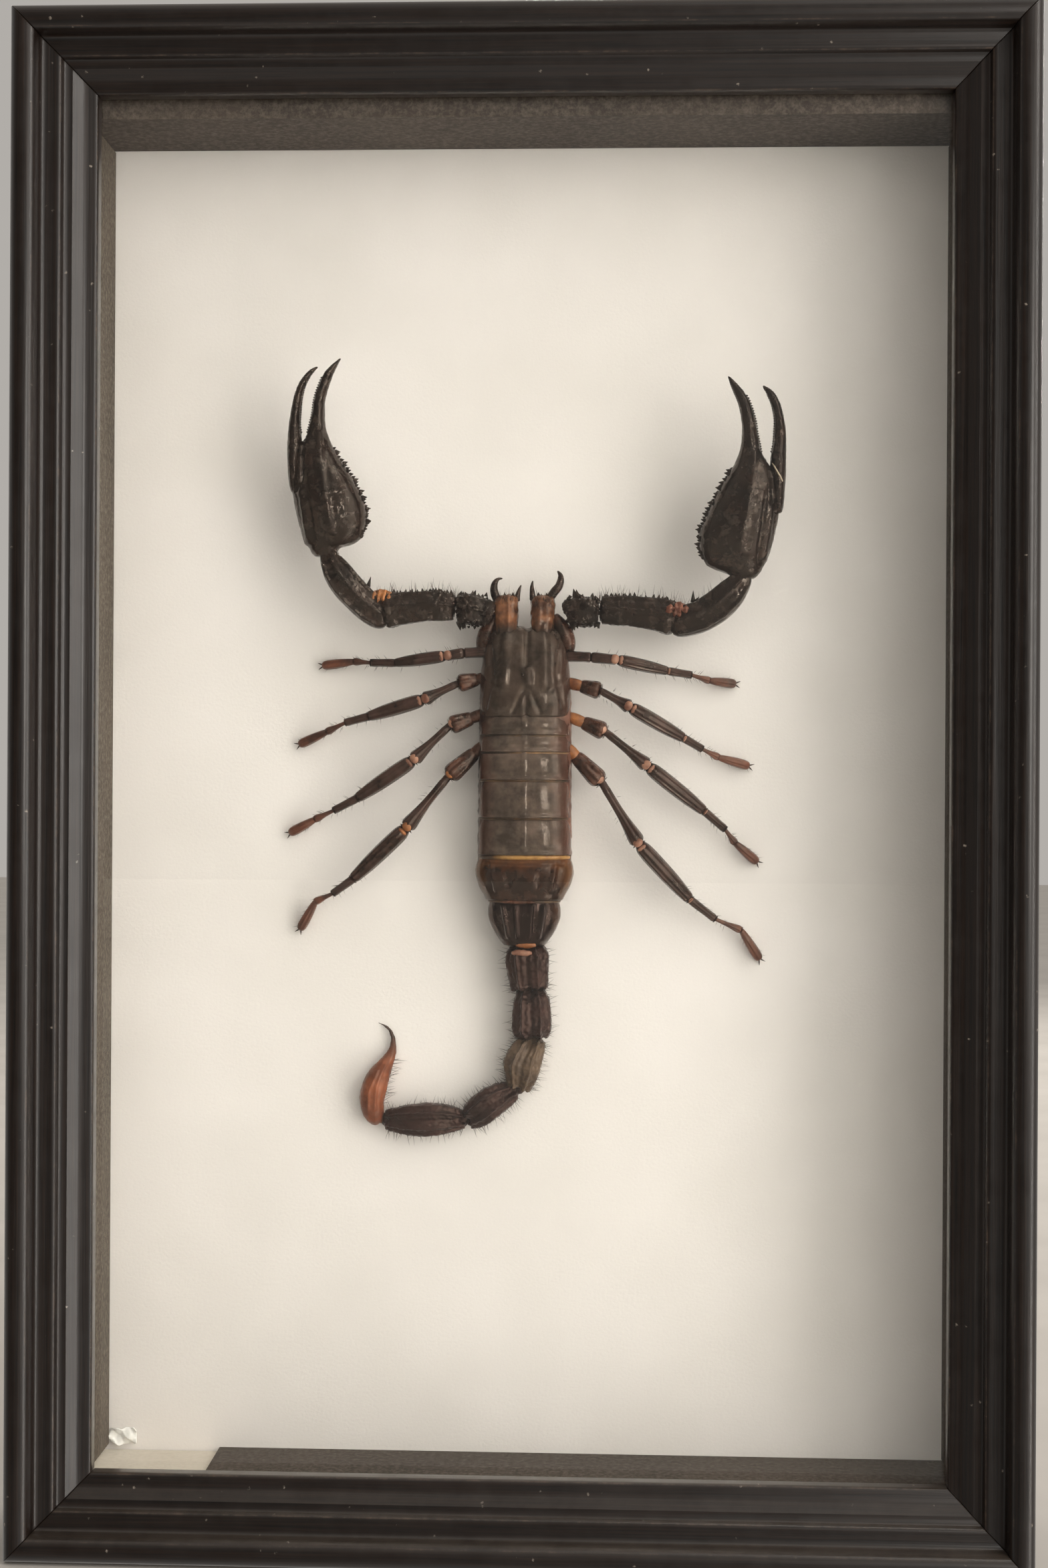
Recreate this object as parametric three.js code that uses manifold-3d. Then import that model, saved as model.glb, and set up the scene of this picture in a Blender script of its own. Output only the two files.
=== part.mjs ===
// Framed scorpion specimen: a dried scorpion glued to a cream card, behind glass in a dark moulded frame.
// Millimetres, +Z up. The frame stands on its lower rail, the glass faces -Y and X runs to the right.
import * as THREE from "three";
import { mergeVertices } from "three/addons/utils/BufferGeometryUtils.js";
import Module from "manifold-3d";

const wasm = await Module();
wasm.setup();

// Frame: outside size, and the moulding from its outer edge inwards
const FRAME_WIDTH = 200;
const FRAME_HEIGHT = 304;
const FRAME_DEPTH = 44;
const RAIL_WIDTH = 16;
const REBATE_WIDTH = 6;
const LIP_THICKNESS = 3;
const SIGHT_DROP = 7; // from the front of the bead back to the sight edge
const BEAD = { top: 2.6, width: 5.4, round: 2.4, fall: 2.4 };
const FILLET = { start: 8, end: 10.3, drop: 3.9, step: 0.5 };
const LIP_BEAD = { start: 14.2, crown: 0.6 };
const CURVE_SEGMENTS = 4;

// Layers behind the lip, front to back
const GAP = 0.3; // clearance between neighbouring pieces
const GLASS_THICKNESS = 2;
const CARD_DEPTH = 28.2; // from the sight edge back to the card
const CARD_THICKNESS = 4;
const PANEL_THICKNESS = 2.5;
const SHEET_CLEARANCE = 0.5; // between a sheet's edge and the rebate
const SPACER_THICKNESS = 2.1;
const LINING_THICKNESS = 0.6;
const TOP_LINING_THICKNESS = 6.6; // the upper lining is a batten whose front shows below the lip
const LOWER_LINING_CUT = 24; // missing from the left end of the lower lining

// Back: steel points and the hanger
const POINT = { width: 7, length: 13, thickness: 0.6, inset: 45 };
const HANGER = { width: 40, height: 14, thickness: 0.7, foot: 8, rise: 0.8, slope: 2, belowTop: 48 };
const HANGER_SLOT = { width: 18, height: 4, teeth: 6, tooth: 1.2 };
const RIVET = { radius: 2, crown: 1, height: 0.6, sides: 16 };

// Scorpion: places are [x, z] on the card and lifts are heights above it. Body rows are [z, half width, top
// lift] from the head back, and each back plate gives its rear edge.
const BODY_X = 0.6;
const BODY_SIDES = 20;
const BODY_BOX = 0.8; // below 1 the section is squarer than an ellipse
const BELLY_LIFT = 0.4;
const CARAPACE = [
  [184.4, 6.9, 8.6],
  [183.2, 7.7, 10.2],
  [180, 8.5, 11.4],
  [175, 9.2, 12.4],
  [169.5, 9.3, 12.6],
  [166.2, 9.1, 12.1],
];
const BACK_PLATES = [
  [162.4, 9.4, 12.2],
  [158.9, 9.4, 12.4],
  [153.2, 9.4, 12.6],
  [145.5, 9.4, 12.6],
  [137.9, 9.6, 12.3],
];
const PLATE_STEP = 0.6; // each plate starts this much lower and narrower than its rear edge
const REAR_PLATES = [
  [137.5, 9.2, 11.7],
  [134.5, 10.2, 11.9],
  [130.5, 9, 11.2],
  [128.8, 7.7, 10.6],
  [128.4, 7.2, 10],
  [125, 7.5, 10],
  [121.5, 5.9, 9.2],
  [119.2, 4.2, 8],
];
const JAW = { x: 3.8, lift: 7.2, root: 182, front: 192, half: 2.3, up: 2.6, sides: 10 };
const JAW_SECTIONS = [[0, 0.8], [0.5, 1], [0.8, 1], [1, 0.75]]; // [place along the jaw, share of its size]
const JAW_FINGERS = [
  [[5.6, 191, 7.2, 1.1], [6.9, 193.6, 7.2, 0.8], [6, 195.6, 7, 0.25]],
  [[2.3, 191, 7.2, 1], [1.6, 192.8, 7, 0.7], [1.3, 194, 6.9, 0.25]],
];

// Tail stations are [x, z, half width], with a narrow waist between one segment and the next
const TAIL = [
  [0.4, 121, 2.6], [0.5, 118.6, 3.3], [0.6, 117, 3.8], [1, 114, 3.9], [1.4, 111, 3.7], [1.6, 110.2, 2.8],
  [1.9, 109.3, 2.9], [1.9, 106.2, 3.6], [1.8, 103.3, 3.8], [1.7, 101.2, 3.3], [1.6, 100, 2.4],
  [1.5, 99, 2.6], [0.4, 96.2, 3.4], [-0.6, 93.3, 3.5], [-1.2, 91.2, 2.8], [-1.6, 90.2, 1.9],
  [-2.4, 89.3, 2.1], [-4.5, 88, 2.8], [-7.4, 86, 2.9], [-10, 84, 2.5], [-11.4, 83.1, 1.6],
  [-12.4, 82.8, 1.7], [-15.1, 83, 2.7], [-18.9, 83, 3.2], [-23.5, 83, 2.9], [-26.5, 83, 2.3],
  [-28.4, 82.8, 1.6], [-29.9, 82.9, 1.3], [-31.1, 84.2, 1.9], [-31.5, 86.6, 2.5], [-30.8, 89.6, 2.6],
  [-29.4, 92.6, 2], [-28, 95.4, 1.3], [-27.2, 97.6, 0.8], [-27.5, 99.4, 0.55], [-28.6, 101.2, 0.4],
  [-30.2, 102.5, 0.2],
];
const TAIL_SIDES = 12;
const TAIL_CLEARANCE = 0.5; // between the tail's underside and the card

// Legs are joints as [x, z] from the body to the toe: hip, femur, knee, shin, ankle, foot, toe
const LEGS = {
  left_1: [
    [-8.4, 179.5], [-12, 179.2], [-16.4, 178.8], [-27, 177.6], [-32.2, 177.5], [-35.7, 177.6], [-42.7, 176.8],
  ],
  left_2: [
    [-8.4, 174.3], [-12.4, 173.7], [-20.6, 170], [-32.8, 165.9], [-37.7, 164.7], [-41, 162.8], [-47.2, 160.4],
  ],
  left_3: [
    [-8.6, 166.6], [-13.8, 165], [-22.8, 157.4], [-34.5, 149.4], [-39.5, 146.7], [-43.5, 144.8], [-49.2, 142],
  ],
  left_4: [
    [-8.6, 160.2], [-15.2, 154], [-24.6, 143], [-35.5, 132.7], [-40.8, 129.2], [-43.6, 127.8], [-47, 121.9],
  ],
  right_1: [
    [9, 178.7], [12.6, 178.5], [18.8, 178], [29.5, 175.8], [34, 175.5], [37.8, 174.2], [43.6, 173.6],
  ],
  right_2: [
    [9.2, 172.9], [13.6, 172.2], [21.2, 168.5], [32.6, 162], [36.6, 159.9], [40.4, 158.1], [46.3, 156.5],
  ],
  right_3: [
    [9.2, 166.4], [14.8, 163.9], [25, 156.9], [36.7, 147.1], [41.1, 143.4], [43.4, 140.4], [48, 136.7],
  ],
  right_4: [
    [8.8, 159.6], [15.2, 153], [24, 140.4], [34.4, 128.8], [39.6, 124.8], [44.8, 122.4], [48.8, 116.5],
  ],
};
const LEG_LIFTS = [5.5, 6.2, 8.6, 6.6, 4.6, 3.1, 1.1];
const LEG_HALVES = [2, 1.55, 1.8, 1.25, 0.95, 0.85]; // widest half of each stretch between joints
const LEG_BELLIES = [[0.08, 0.72], [0.35, 1], [0.9, 0.82]]; // [place, share of the widest] along a stretch
const LEG_TOE = 0.35;
const LEG_TALL = 1.1; // height of a section over its width
const LEG_SIDES = 7;

// Pincer arms run from the shoulder beside the jaws to the wrist, as [x, z, lift, half width]
const ARMS = {
  left: [
    [-5, 186.9, 7.2, 2.4], [-8.6, 187.8, 7.4, 2.9], [-11.2, 188.2, 7.6, 3.3], [-13.8, 188.5, 7.8, 2.5],
    [-14.8, 188.6, 7.8, 2.5], [-20, 188.8, 8, 3], [-25.5, 188.2, 8.2, 3.4], [-29.2, 187.5, 8.4, 3.4],
    [-31.8, 188.2, 8.6, 3], [-34.2, 190.4, 9, 3], [-36.6, 193, 9.4, 3.1], [-38.6, 195.8, 9.8, 2.8],
    [-39.7, 197.7, 10, 2.1], [-40, 199.5, 10, 2],
  ],
  right: [
    [6, 186.6, 7.2, 2.4], [9.6, 187.4, 7.4, 2.9], [12.3, 187.7, 7.6, 3.3], [14.9, 187.9, 7.8, 2.5],
    [15.9, 187.9, 7.8, 2.5], [21.3, 187.9, 8, 3], [27.3, 187.1, 8.2, 3.4], [30.6, 186.2, 8.6, 3.5],
    [33.2, 185.8, 9, 3.1], [36, 186.6, 9.6, 3.1], [39.2, 188.6, 10.4, 3.2], [42, 191.2, 11.2, 2.9],
    [43.7, 193.3, 11.8, 2.2], [44.2, 195, 12, 2],
  ],
};
const ARM_SIDES = 10;
// The claw, as [outward, along, half width, half thickness] from the wrist
const PALM = [
  [0.5, -0.4, 2.4, 2.2], [-0.3, 1.5, 4.3, 3.2], [-1.2, 4, 6.4, 4.2], [-0.9, 7, 7.3, 4.7], [0, 10.5, 7.3, 4.7],
  [1.35, 14.5, 6.85, 4.3], [2.65, 18.5, 5.8, 3.7], [3.6, 22.3, 4.2, 3],
];
const FIXED_FINGER = [
  [2.4, 24.4, 2.2, 2.2], [2.1, 28, 1.3, 1.8], [1.4, 31, 1.05, 1.6], [0.2, 34.4, 1.1, 1.4],
  [-1.2, 37.2, 0.8, 1], [-2.3, 39.3, 0.25, 0.3],
];
const MOVING_FINGER = [
  [6.6, 14.5, 1.5, 1.9], [7, 20, 1.5, 1.9], [6.9, 25, 1.3, 1.7], [6.1, 29, 1.35, 1.6], [4.7, 33, 1.3, 1.4],
  [3.3, 35.6, 0.9, 1], [2, 37.6, 0.25, 0.3],
];
const FINGER_SPREAD = { left: 0, right: 1 }; // how much further the fingertips stand apart
const PALM_SIDES = 14;
const FINGER_SIDES = 8;
const CLAW_RISE = { left: 0.05, right: 0.1 }; // lift gained for each millimetre along the claw
// Tubercles along the palm's inner edge, as [outward, along], and along the front of the upper arm
const PALM_TEETH = [[-7.7, 8], [-7, 10.4], [-6, 12.8], [-4.9, 15.2], [-3.6, 17.6], [-2.2, 20], [-0.6, 22.4]];
const ARM_TEETH = { count: 5, first: 0.1, last: 0.9, from: 4, to: 7 };
const TOOTH = { radius: 0.55, height: 1.7, sides: 5, lean: 0.5 };

// Planes and edges that follow from the sizes above
const BACK_Y = FRAME_DEPTH / 2;
const SIGHT_Y = -BACK_Y + SIGHT_DROP;
const GLASS_FRONT_Y = SIGHT_Y + LIP_THICKNESS + GAP;
const GLASS_BACK_Y = GLASS_FRONT_Y + GLASS_THICKNESS;
const CARD_FRONT_Y = SIGHT_Y + CARD_DEPTH;
const CARD_BACK_Y = CARD_FRONT_Y + CARD_THICKNESS;
const PANEL_FRONT_Y = CARD_BACK_Y + GAP;
const PANEL_BACK_Y = PANEL_FRONT_Y + PANEL_THICKNESS;
const WALL = RAIL_WIDTH - REBATE_WIDTH; // thickness of a rail beside the rebate
const REBATE_X = FRAME_WIDTH / 2 - WALL;
const REBATE_TOP = FRAME_HEIGHT - WALL;
const BODY_GAP = 0.35; // clearance of limbs and tail to the body

const MATERIALS = {
  frame: paint(0x241a14, 0.42),
  glass: paint(0xf4f7f6, 0.05, 0, 0.15),
  spacer: paint(0xd8cdb8, 0.9),
  lining: paint(0x463c33, 0.85),
  card: paint(0xf3e9dc, 0.9),
  panel: paint(0x6b4a30, 0.8),
  steel: paint(0xa9a9a6, 0.4, 0.9),
  body: paint(0x3f3831, 0.4),
  claw: paint(0x2a2422, 0.45),
  leg: paint(0x3a2a22, 0.4),
};

const specimen = new THREE.Group();
addFrame(specimen);
addSheets(specimen);
addStrips(specimen);
addBackFittings(specimen);
addScorpion(specimen);

function paint(color, roughness, metalness = 0, opacity = 1) {
  return new THREE.MeshStandardMaterial({ color, roughness, metalness, opacity, transparent: opacity < 1 });
}

function add(group, name, geometry, material) {
  const mesh = new THREE.Mesh(geometry, material);
  mesh.name = name;
  group.add(mesh);
  return mesh;
}

// A box between two corners.
function block(x0, x1, y0, y1, z0, z1) {
  const box = new THREE.BoxGeometry(x1 - x0, y1 - y0, z1 - z0);
  return box.translate((x0 + x1) / 2, (y0 + y1) / 2, (z0 + z1) / 2);
}

function toSolid(geometry) {
  geometry.deleteAttribute("normal");
  geometry.deleteAttribute("uv");
  const merged = mergeVertices(geometry);
  const vertProperties = merged.attributes.position.array;
  const triVerts = new Uint32Array(merged.index.array);
  return new wasm.Manifold(new wasm.Mesh({ numProp: 3, vertProperties, triVerts }));
}

function toGeometry(solid) {
  const { vertProperties, triVerts } = solid.getMesh();
  const geometry = new THREE.BufferGeometry();
  geometry.setAttribute("position", new THREE.BufferAttribute(vertProperties, 3));
  geometry.setIndex(new THREE.BufferAttribute(triVerts, 1));
  return geometry;
}

function union(geometries) {
  return geometries.map(toSolid).reduce((whole, piece) => whole.add(piece));
}

// The moulding's section: across from the outer edge, and forward from the back.
function mouldingProfile() {
  const front = FRAME_DEPTH;
  const sight = front - SIGHT_DROP;
  const lipBack = sight - LIP_THICKNESS;
  const bead = front - BEAD.fall;
  const fillet = front - FILLET.drop;
  const section = new THREE.Shape();
  section.moveTo(0, 0);
  section.lineTo(0, front - BEAD.round);
  section.quadraticCurveTo(0, front, BEAD.top, front);
  section.quadraticCurveTo(BEAD.width, front, BEAD.width, bead);
  section.quadraticCurveTo(BEAD.width, fillet, FILLET.start, fillet);
  section.lineTo(FILLET.end, fillet);
  section.lineTo(FILLET.end, fillet - FILLET.step);
  section.quadraticCurveTo(FILLET.end, sight, LIP_BEAD.start, sight);
  section.quadraticCurveTo(RAIL_WIDTH, sight + LIP_BEAD.crown, RAIL_WIDTH, sight - LIP_BEAD.crown);
  section.lineTo(RAIL_WIDTH, lipBack);
  section.lineTo(WALL, lipBack);
  section.lineTo(WALL, 0);
  section.closePath();
  return section;
}

// A rail of the moulding below the frame's centre, mitred at both ends.
function rail(length, reach) {
  const extrusion = { depth: 1, steps: 1, bevelEnabled: false, curveSegments: CURVE_SEGMENTS };
  const geometry = new THREE.ExtrudeGeometry(mouldingProfile(), extrusion);
  const place = geometry.attributes.position;
  for (let i = 0; i < place.count; i++) {
    const across = place.getX(i);
    const end = length / 2 - across - GAP / Math.SQRT2;
    place.setXYZ(i, place.getZ(i) > 0.5 ? end : -end, BACK_Y - place.getY(i), across - reach);
  }
  return geometry;
}

function addFrame(group) {
  const frame = new THREE.Group();
  frame.position.z = FRAME_HEIGHT / 2;
  const sides = [
    ["frame_bottom", FRAME_WIDTH, FRAME_HEIGHT, 0],
    ["frame_left", FRAME_HEIGHT, FRAME_WIDTH, 1],
    ["frame_top", FRAME_WIDTH, FRAME_HEIGHT, 2],
    ["frame_right", FRAME_HEIGHT, FRAME_WIDTH, 3],
  ];
  for (const [name, length, span, quarterTurns] of sides) {
    const mesh = add(frame, name, rail(length, span / 2), MATERIALS.frame);
    mesh.rotation.y = (quarterTurns * Math.PI) / 2;
  }
  group.add(frame);
}

// Glass, card and back panel fill the rebate.
function addSheets(group) {
  const x = REBATE_X - SHEET_CLEARANCE;
  const bottom = WALL + SHEET_CLEARANCE;
  const top = REBATE_TOP - SHEET_CLEARANCE;
  const sheets = [
    ["glass", GLASS_FRONT_Y, GLASS_BACK_Y, MATERIALS.glass],
    ["card", CARD_FRONT_Y, CARD_BACK_Y, MATERIALS.card],
    ["back_panel", PANEL_FRONT_Y, PANEL_BACK_Y, MATERIALS.panel],
  ];
  for (const [name, front, back, material] of sheets) {
    add(group, name, block(-x, x, front, back, bottom, top), material);
  }
}

// Spacers and their dark linings run round the inside, between the glass and the card.
function addStrips(group) {
  const front = GLASS_BACK_Y + GAP;
  const back = CARD_FRONT_Y - GAP;
  const strip = (name, material, x0, x1, z0, z1) =>
    add(group, name, block(x0, x1, front, back, z0, z1), material);

  const outer = REBATE_X - GAP;
  const inner = outer - SPACER_THICKNESS;
  const lined = inner - GAP;
  const face = lined - LINING_THICKNESS;
  const floor = WALL + GAP + SPACER_THICKNESS;
  const ceiling = REBATE_TOP - GAP - SPACER_THICKNESS;
  strip("spacer_bottom", MATERIALS.spacer, -outer, outer, WALL + GAP, floor);
  strip("spacer_top", MATERIALS.spacer, -outer, outer, ceiling, REBATE_TOP - GAP);
  strip("spacer_left", MATERIALS.spacer, -outer, -inner, floor + GAP, ceiling - GAP);
  strip("spacer_right", MATERIALS.spacer, inner, outer, floor + GAP, ceiling - GAP);

  const low = floor + GAP + LINING_THICKNESS;
  const high = ceiling - GAP - TOP_LINING_THICKNESS;
  strip("lining_bottom", MATERIALS.lining, -lined + LOWER_LINING_CUT, lined, floor + GAP, low);
  strip("lining_top", MATERIALS.lining, -lined, lined, high, ceiling - GAP);
  strip("lining_left", MATERIALS.lining, -lined, -face, low + GAP, high - GAP);
  strip("lining_right", MATERIALS.lining, face, lined, low + GAP, high - GAP);
}

// A sawtooth plate with two feet on the panel and a raised middle, in which the slot is cut.
function hangerGeometry() {
  const half = HANGER.width / 2;
  const ramp = half - HANGER.foot;
  const section = new THREE.Shape();
  section.moveTo(-half, 0);
  section.lineTo(-ramp, 0);
  section.lineTo(-ramp + HANGER.slope, HANGER.rise);
  section.lineTo(ramp - HANGER.slope, HANGER.rise);
  section.lineTo(ramp, 0);
  section.lineTo(half, 0);
  section.lineTo(half, HANGER.thickness);
  section.lineTo(ramp, HANGER.thickness);
  section.lineTo(ramp - HANGER.slope, HANGER.rise + HANGER.thickness);
  section.lineTo(-ramp + HANGER.slope, HANGER.rise + HANGER.thickness);
  section.lineTo(-ramp, HANGER.thickness);
  section.lineTo(-half, HANGER.thickness);
  section.closePath();
  const plate = new THREE.ExtrudeGeometry(section, { depth: HANGER.height, steps: 1, bevelEnabled: false });

  const slot = new THREE.Shape();
  const pitch = HANGER_SLOT.width / HANGER_SLOT.teeth;
  slot.moveTo(-HANGER_SLOT.width / 2, 0);
  slot.lineTo(HANGER_SLOT.width / 2, 0);
  for (let i = HANGER_SLOT.teeth; i > 0; i--) {
    const right = -HANGER_SLOT.width / 2 + i * pitch;
    slot.lineTo(right, HANGER_SLOT.height);
    slot.lineTo(right - pitch / 2, HANGER_SLOT.height - HANGER_SLOT.tooth);
  }
  slot.lineTo(-HANGER_SLOT.width / 2, HANGER_SLOT.height);
  slot.closePath();
  const through = HANGER.rise + 2 * HANGER.thickness;
  const cutter = new THREE.ExtrudeGeometry(slot, { depth: 2 * through, steps: 1, bevelEnabled: false });
  cutter.rotateX(Math.PI / 2).translate(0, through, (HANGER.height - HANGER_SLOT.height) / 2);
  return toGeometry(toSolid(plate).subtract(toSolid(cutter)));
}

function addBackFittings(group) {
  const y = PANEL_BACK_Y + GAP;
  const hangerZ = FRAME_HEIGHT - HANGER.belowTop;
  add(group, "hanger", hangerGeometry(), MATERIALS.steel).position.set(0, y, hangerZ);
  for (const [name, side] of [["left", -1], ["right", 1]]) {
    const head = new THREE.CylinderGeometry(RIVET.crown, RIVET.radius, RIVET.height, RIVET.sides);
    const rivet = add(group, `hanger_rivet_${name}`, head, MATERIALS.steel);
    const x = side * (HANGER.width - HANGER.foot) / 2;
    rivet.position.set(x, y + HANGER.thickness + GAP + RIVET.height / 2, hangerZ + HANGER.height / 2);
  }

  const along = FRAME_WIDTH / 2 - POINT.inset;
  const up = FRAME_HEIGHT / 2 - POINT.inset;
  const places = [
    ["top_left", -along, 1],
    ["top_right", along, 1],
    ["bottom_left", -along, -1],
    ["bottom_right", along, -1],
  ];
  for (const [name, x, side] of places) {
    const point = add(group, `point_${name}`, pointGeometry(), MATERIALS.steel);
    point.position.set(x, y, FRAME_HEIGHT / 2 + side * (FRAME_HEIGHT / 2 - WALL - GAP));
    point.rotation.y = side > 0 ? Math.PI : 0;
  }
  for (const [name, side] of [["left", -1], ["right", 1]]) {
    for (const [level, z] of [["upper", up], ["middle", 0], ["lower", -up]]) {
      const point = add(group, `point_${name}_${level}`, pointGeometry(), MATERIALS.steel);
      point.position.set(side * (REBATE_X - GAP), y, FRAME_HEIGHT / 2 + z);
      point.rotation.y = -side * Math.PI / 2;
    }
  }
}

// A thin steel point lying flat on the panel, its blunt end at the rail and its tip over the panel.
function pointGeometry() {
  const outline = new THREE.Shape();
  outline.moveTo(-POINT.width / 2, 0);
  outline.lineTo(POINT.width / 2, 0);
  outline.lineTo(0, POINT.length);
  outline.closePath();
  const extrusion = { depth: POINT.thickness, steps: 1, bevelEnabled: false };
  const geometry = new THREE.ExtrudeGeometry(outline, extrusion);
  return geometry.rotateX(Math.PI / 2).translate(0, POINT.thickness, 0);
}

// Lays the rings of a capped cylinder on stations { at, across, up }, square to the way the limb runs.
// With level set, every ring stands square to Z instead. A box below 1 squares the sections.
function loft(stations, sides, { level = false, box = 1 } = {}) {
  const viewer = new THREE.Vector3(0, -1, 0);
  const rings = stations.map(({ at, across, up }, i) => {
    const before = stations[Math.max(i - 1, 0)].at;
    const after = stations[Math.min(i + 1, stations.length - 1)].at;
    const along = level ? new THREE.Vector3(0, 0, Math.sign(after.z - before.z)) : after.clone().sub(before);
    along.normalize();
    const side = viewer.clone().cross(along).normalize();
    const front = along.clone().cross(side);
    return { at, side: side.multiplyScalar(across), front: front.multiplyScalar(up) };
  });
  const geometry = new THREE.CylinderGeometry(1, 1, 1, sides, stations.length - 1);
  const place = geometry.attributes.position;
  const square = (v) => Math.sign(v) * Math.abs(v) ** box;
  for (let i = 0; i < place.count; i++) {
    const ring = rings[Math.round((0.5 - place.getY(i)) * (stations.length - 1))];
    const p = ring.at.clone();
    p.addScaledVector(ring.side, square(place.getX(i)));
    p.addScaledVector(ring.front, square(place.getZ(i)));
    place.setXYZ(i, p.x, p.y, p.z);
  }
  return geometry;
}

function onCard(x, z, lift) {
  return new THREE.Vector3(x, CARD_FRONT_Y - lift, z);
}

// Stations of the trunk from head to tail, each plate stepping down to the one behind it.
function bodyStations(grow) {
  const rows = [...CARAPACE];
  let [frontZ] = CARAPACE.at(-1);
  for (const [rearZ, half, top] of BACK_PLATES) {
    rows.push([frontZ - PLATE_STEP / 2, half - PLATE_STEP, top - PLATE_STEP], [rearZ, half, top]);
    frontZ = rearZ;
  }
  rows.push(...REAR_PLATES);
  return rows.map(([z, half, top], i) => {
    const stretch = i === 0 ? grow : i === rows.length - 1 ? -grow : 0;
    const height = top - BELLY_LIFT;
    const at = onCard(BODY_X, z + stretch, BELLY_LIFT + height / 2);
    return { at, across: half + grow, up: height / 2 + grow };
  });
}

// One jaw beside the middle line: its palm and two short fingers.
function jawGeometries(side, grow) {
  const x = BODY_X + side * JAW.x;
  const palm = JAW_SECTIONS.map(([share, size]) => ({
    at: onCard(x, JAW.root + share * (JAW.front - JAW.root), JAW.lift),
    across: JAW.half * size + grow,
    up: JAW.up * size + grow,
  }));
  const fingers = JAW_FINGERS.map((points) =>
    points.map(([out, z, lift, half]) => ({
      at: onCard(BODY_X + side * out, z, lift),
      across: half + grow,
      up: half + grow,
    })),
  );
  return [palm, ...fingers].map((stations) => loft(stations, JAW.sides));
}

function bodySolid(grow) {
  const trunk = loft(bodyStations(grow), BODY_SIDES, { level: true, box: BODY_BOX });
  return union([trunk, ...jawGeometries(-1, grow), ...jawGeometries(1, grow)]);
}

function tailGeometry() {
  const stations = TAIL.map(([x, z, half]) => ({
    at: onCard(x, z, half + TAIL_CLEARANCE),
    across: half,
    up: half,
  }));
  return loft(stations, TAIL_SIDES);
}

// A leg: each stretch between two joints swells to its belly and narrows to the next joint.
function legGeometry(joints) {
  const places = joints.map(([x, z], i) => onCard(x, z, LEG_LIFTS[i]));
  const stations = LEG_HALVES.flatMap((half, i) =>
    LEG_BELLIES.map(([share, size]) => ({
      at: places[i].clone().lerp(places[i + 1], share),
      across: half * size,
      up: half * size * LEG_TALL,
    })),
  );
  stations.push({ at: places.at(-1), across: LEG_TOE, up: LEG_TOE });
  return loft(stations, LEG_SIDES);
}

// A cone-shaped tubercle whose base is sunk in the surface it grows from.
function tooth(at, direction) {
  const cone = new THREE.ConeGeometry(TOOTH.radius, TOOTH.height, TOOTH.sides);
  const turn = new THREE.Quaternion().setFromUnitVectors(new THREE.Vector3(0, 1, 0), direction);
  return cone.applyQuaternion(turn).translate(at.x, at.y, at.z);
}

// A pincer: the arm to the wrist, the palm with its fixed finger, the moving finger and the tubercles.
function pincerSolid(side) {
  const outward = side === "left" ? -1 : 1;
  const arm = ARMS[side].map(([x, z, lift, half]) => ({ at: onCard(x, z, lift), across: half, up: half }));
  const wrist = arm.at(-1).at;
  const onClaw = (out, along) =>
    new THREE.Vector3(wrist.x + outward * out, wrist.y - along * CLAW_RISE[side], wrist.z + along);
  const claw = (rows, rootShift = 0, tipShift = rootShift) =>
    rows.map(([out, along, across, up], i) => {
      const shift = THREE.MathUtils.lerp(rootShift, tipShift, i / (rows.length - 1));
      return { at: onClaw(out + shift, along), across, up };
    });
  const spread = FINGER_SPREAD[side];
  const palm = [...claw(PALM), ...claw(FIXED_FINGER, -spread)];

  const inwards = new THREE.Vector3(-outward, 0, TOOTH.lean).normalize();
  const teeth = PALM_TEETH.map(([out, along]) => tooth(onClaw(out, along), inwards));
  for (let i = 0; i < ARM_TEETH.count; i++) {
    const share = THREE.MathUtils.lerp(ARM_TEETH.first, ARM_TEETH.last, i / (ARM_TEETH.count - 1));
    const from = arm[ARM_TEETH.from];
    const to = arm[ARM_TEETH.to];
    const at = from.at.clone().lerp(to.at, share);
    at.z += THREE.MathUtils.lerp(from.across, to.across, share);
    teeth.push(tooth(at, new THREE.Vector3(0, 0, 1)));
  }
  return union([
    loft(arm, ARM_SIDES),
    loft(palm, PALM_SIDES, { level: true }),
    loft(claw(MOVING_FINGER, 0, spread), FINGER_SIDES, { level: true }),
    ...teeth,
  ]);
}

// Limbs and tail stop just short of the body, where soft skin joins them in life.
function addScorpion(group) {
  const clearance = bodySolid(BODY_GAP);
  const limb = (name, solid, material) =>
    add(group, `scorpion_${name}`, toGeometry(solid.subtract(clearance)), material);

  add(group, "scorpion_body", toGeometry(bodySolid(0)), MATERIALS.body);
  limb("tail", toSolid(tailGeometry()), MATERIALS.body);
  for (const side of ["left", "right"]) {
    limb(`pincer_${side}`, pincerSolid(side), MATERIALS.claw);
  }
  for (const [name, joints] of Object.entries(LEGS)) {
    limb(`leg_${name}`, toSolid(legGeometry(joints)), MATERIALS.leg);
  }
}

export default specimen;
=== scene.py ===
# %% [markdown]
# # A scorpion in a glazed box frame
# The real thing is a dried scorpion on cream card, behind glass, in a dark stained wooden frame.
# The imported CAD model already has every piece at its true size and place, so it is loaded first.
# Everything below is modelled in the same frame, in metres, and rides on the one body of the part.

# %% Load the CAD frame and keep its size
import math
import random

import bmesh
import bpy
import numpy as np
from mathutils import Matrix, Vector


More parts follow.
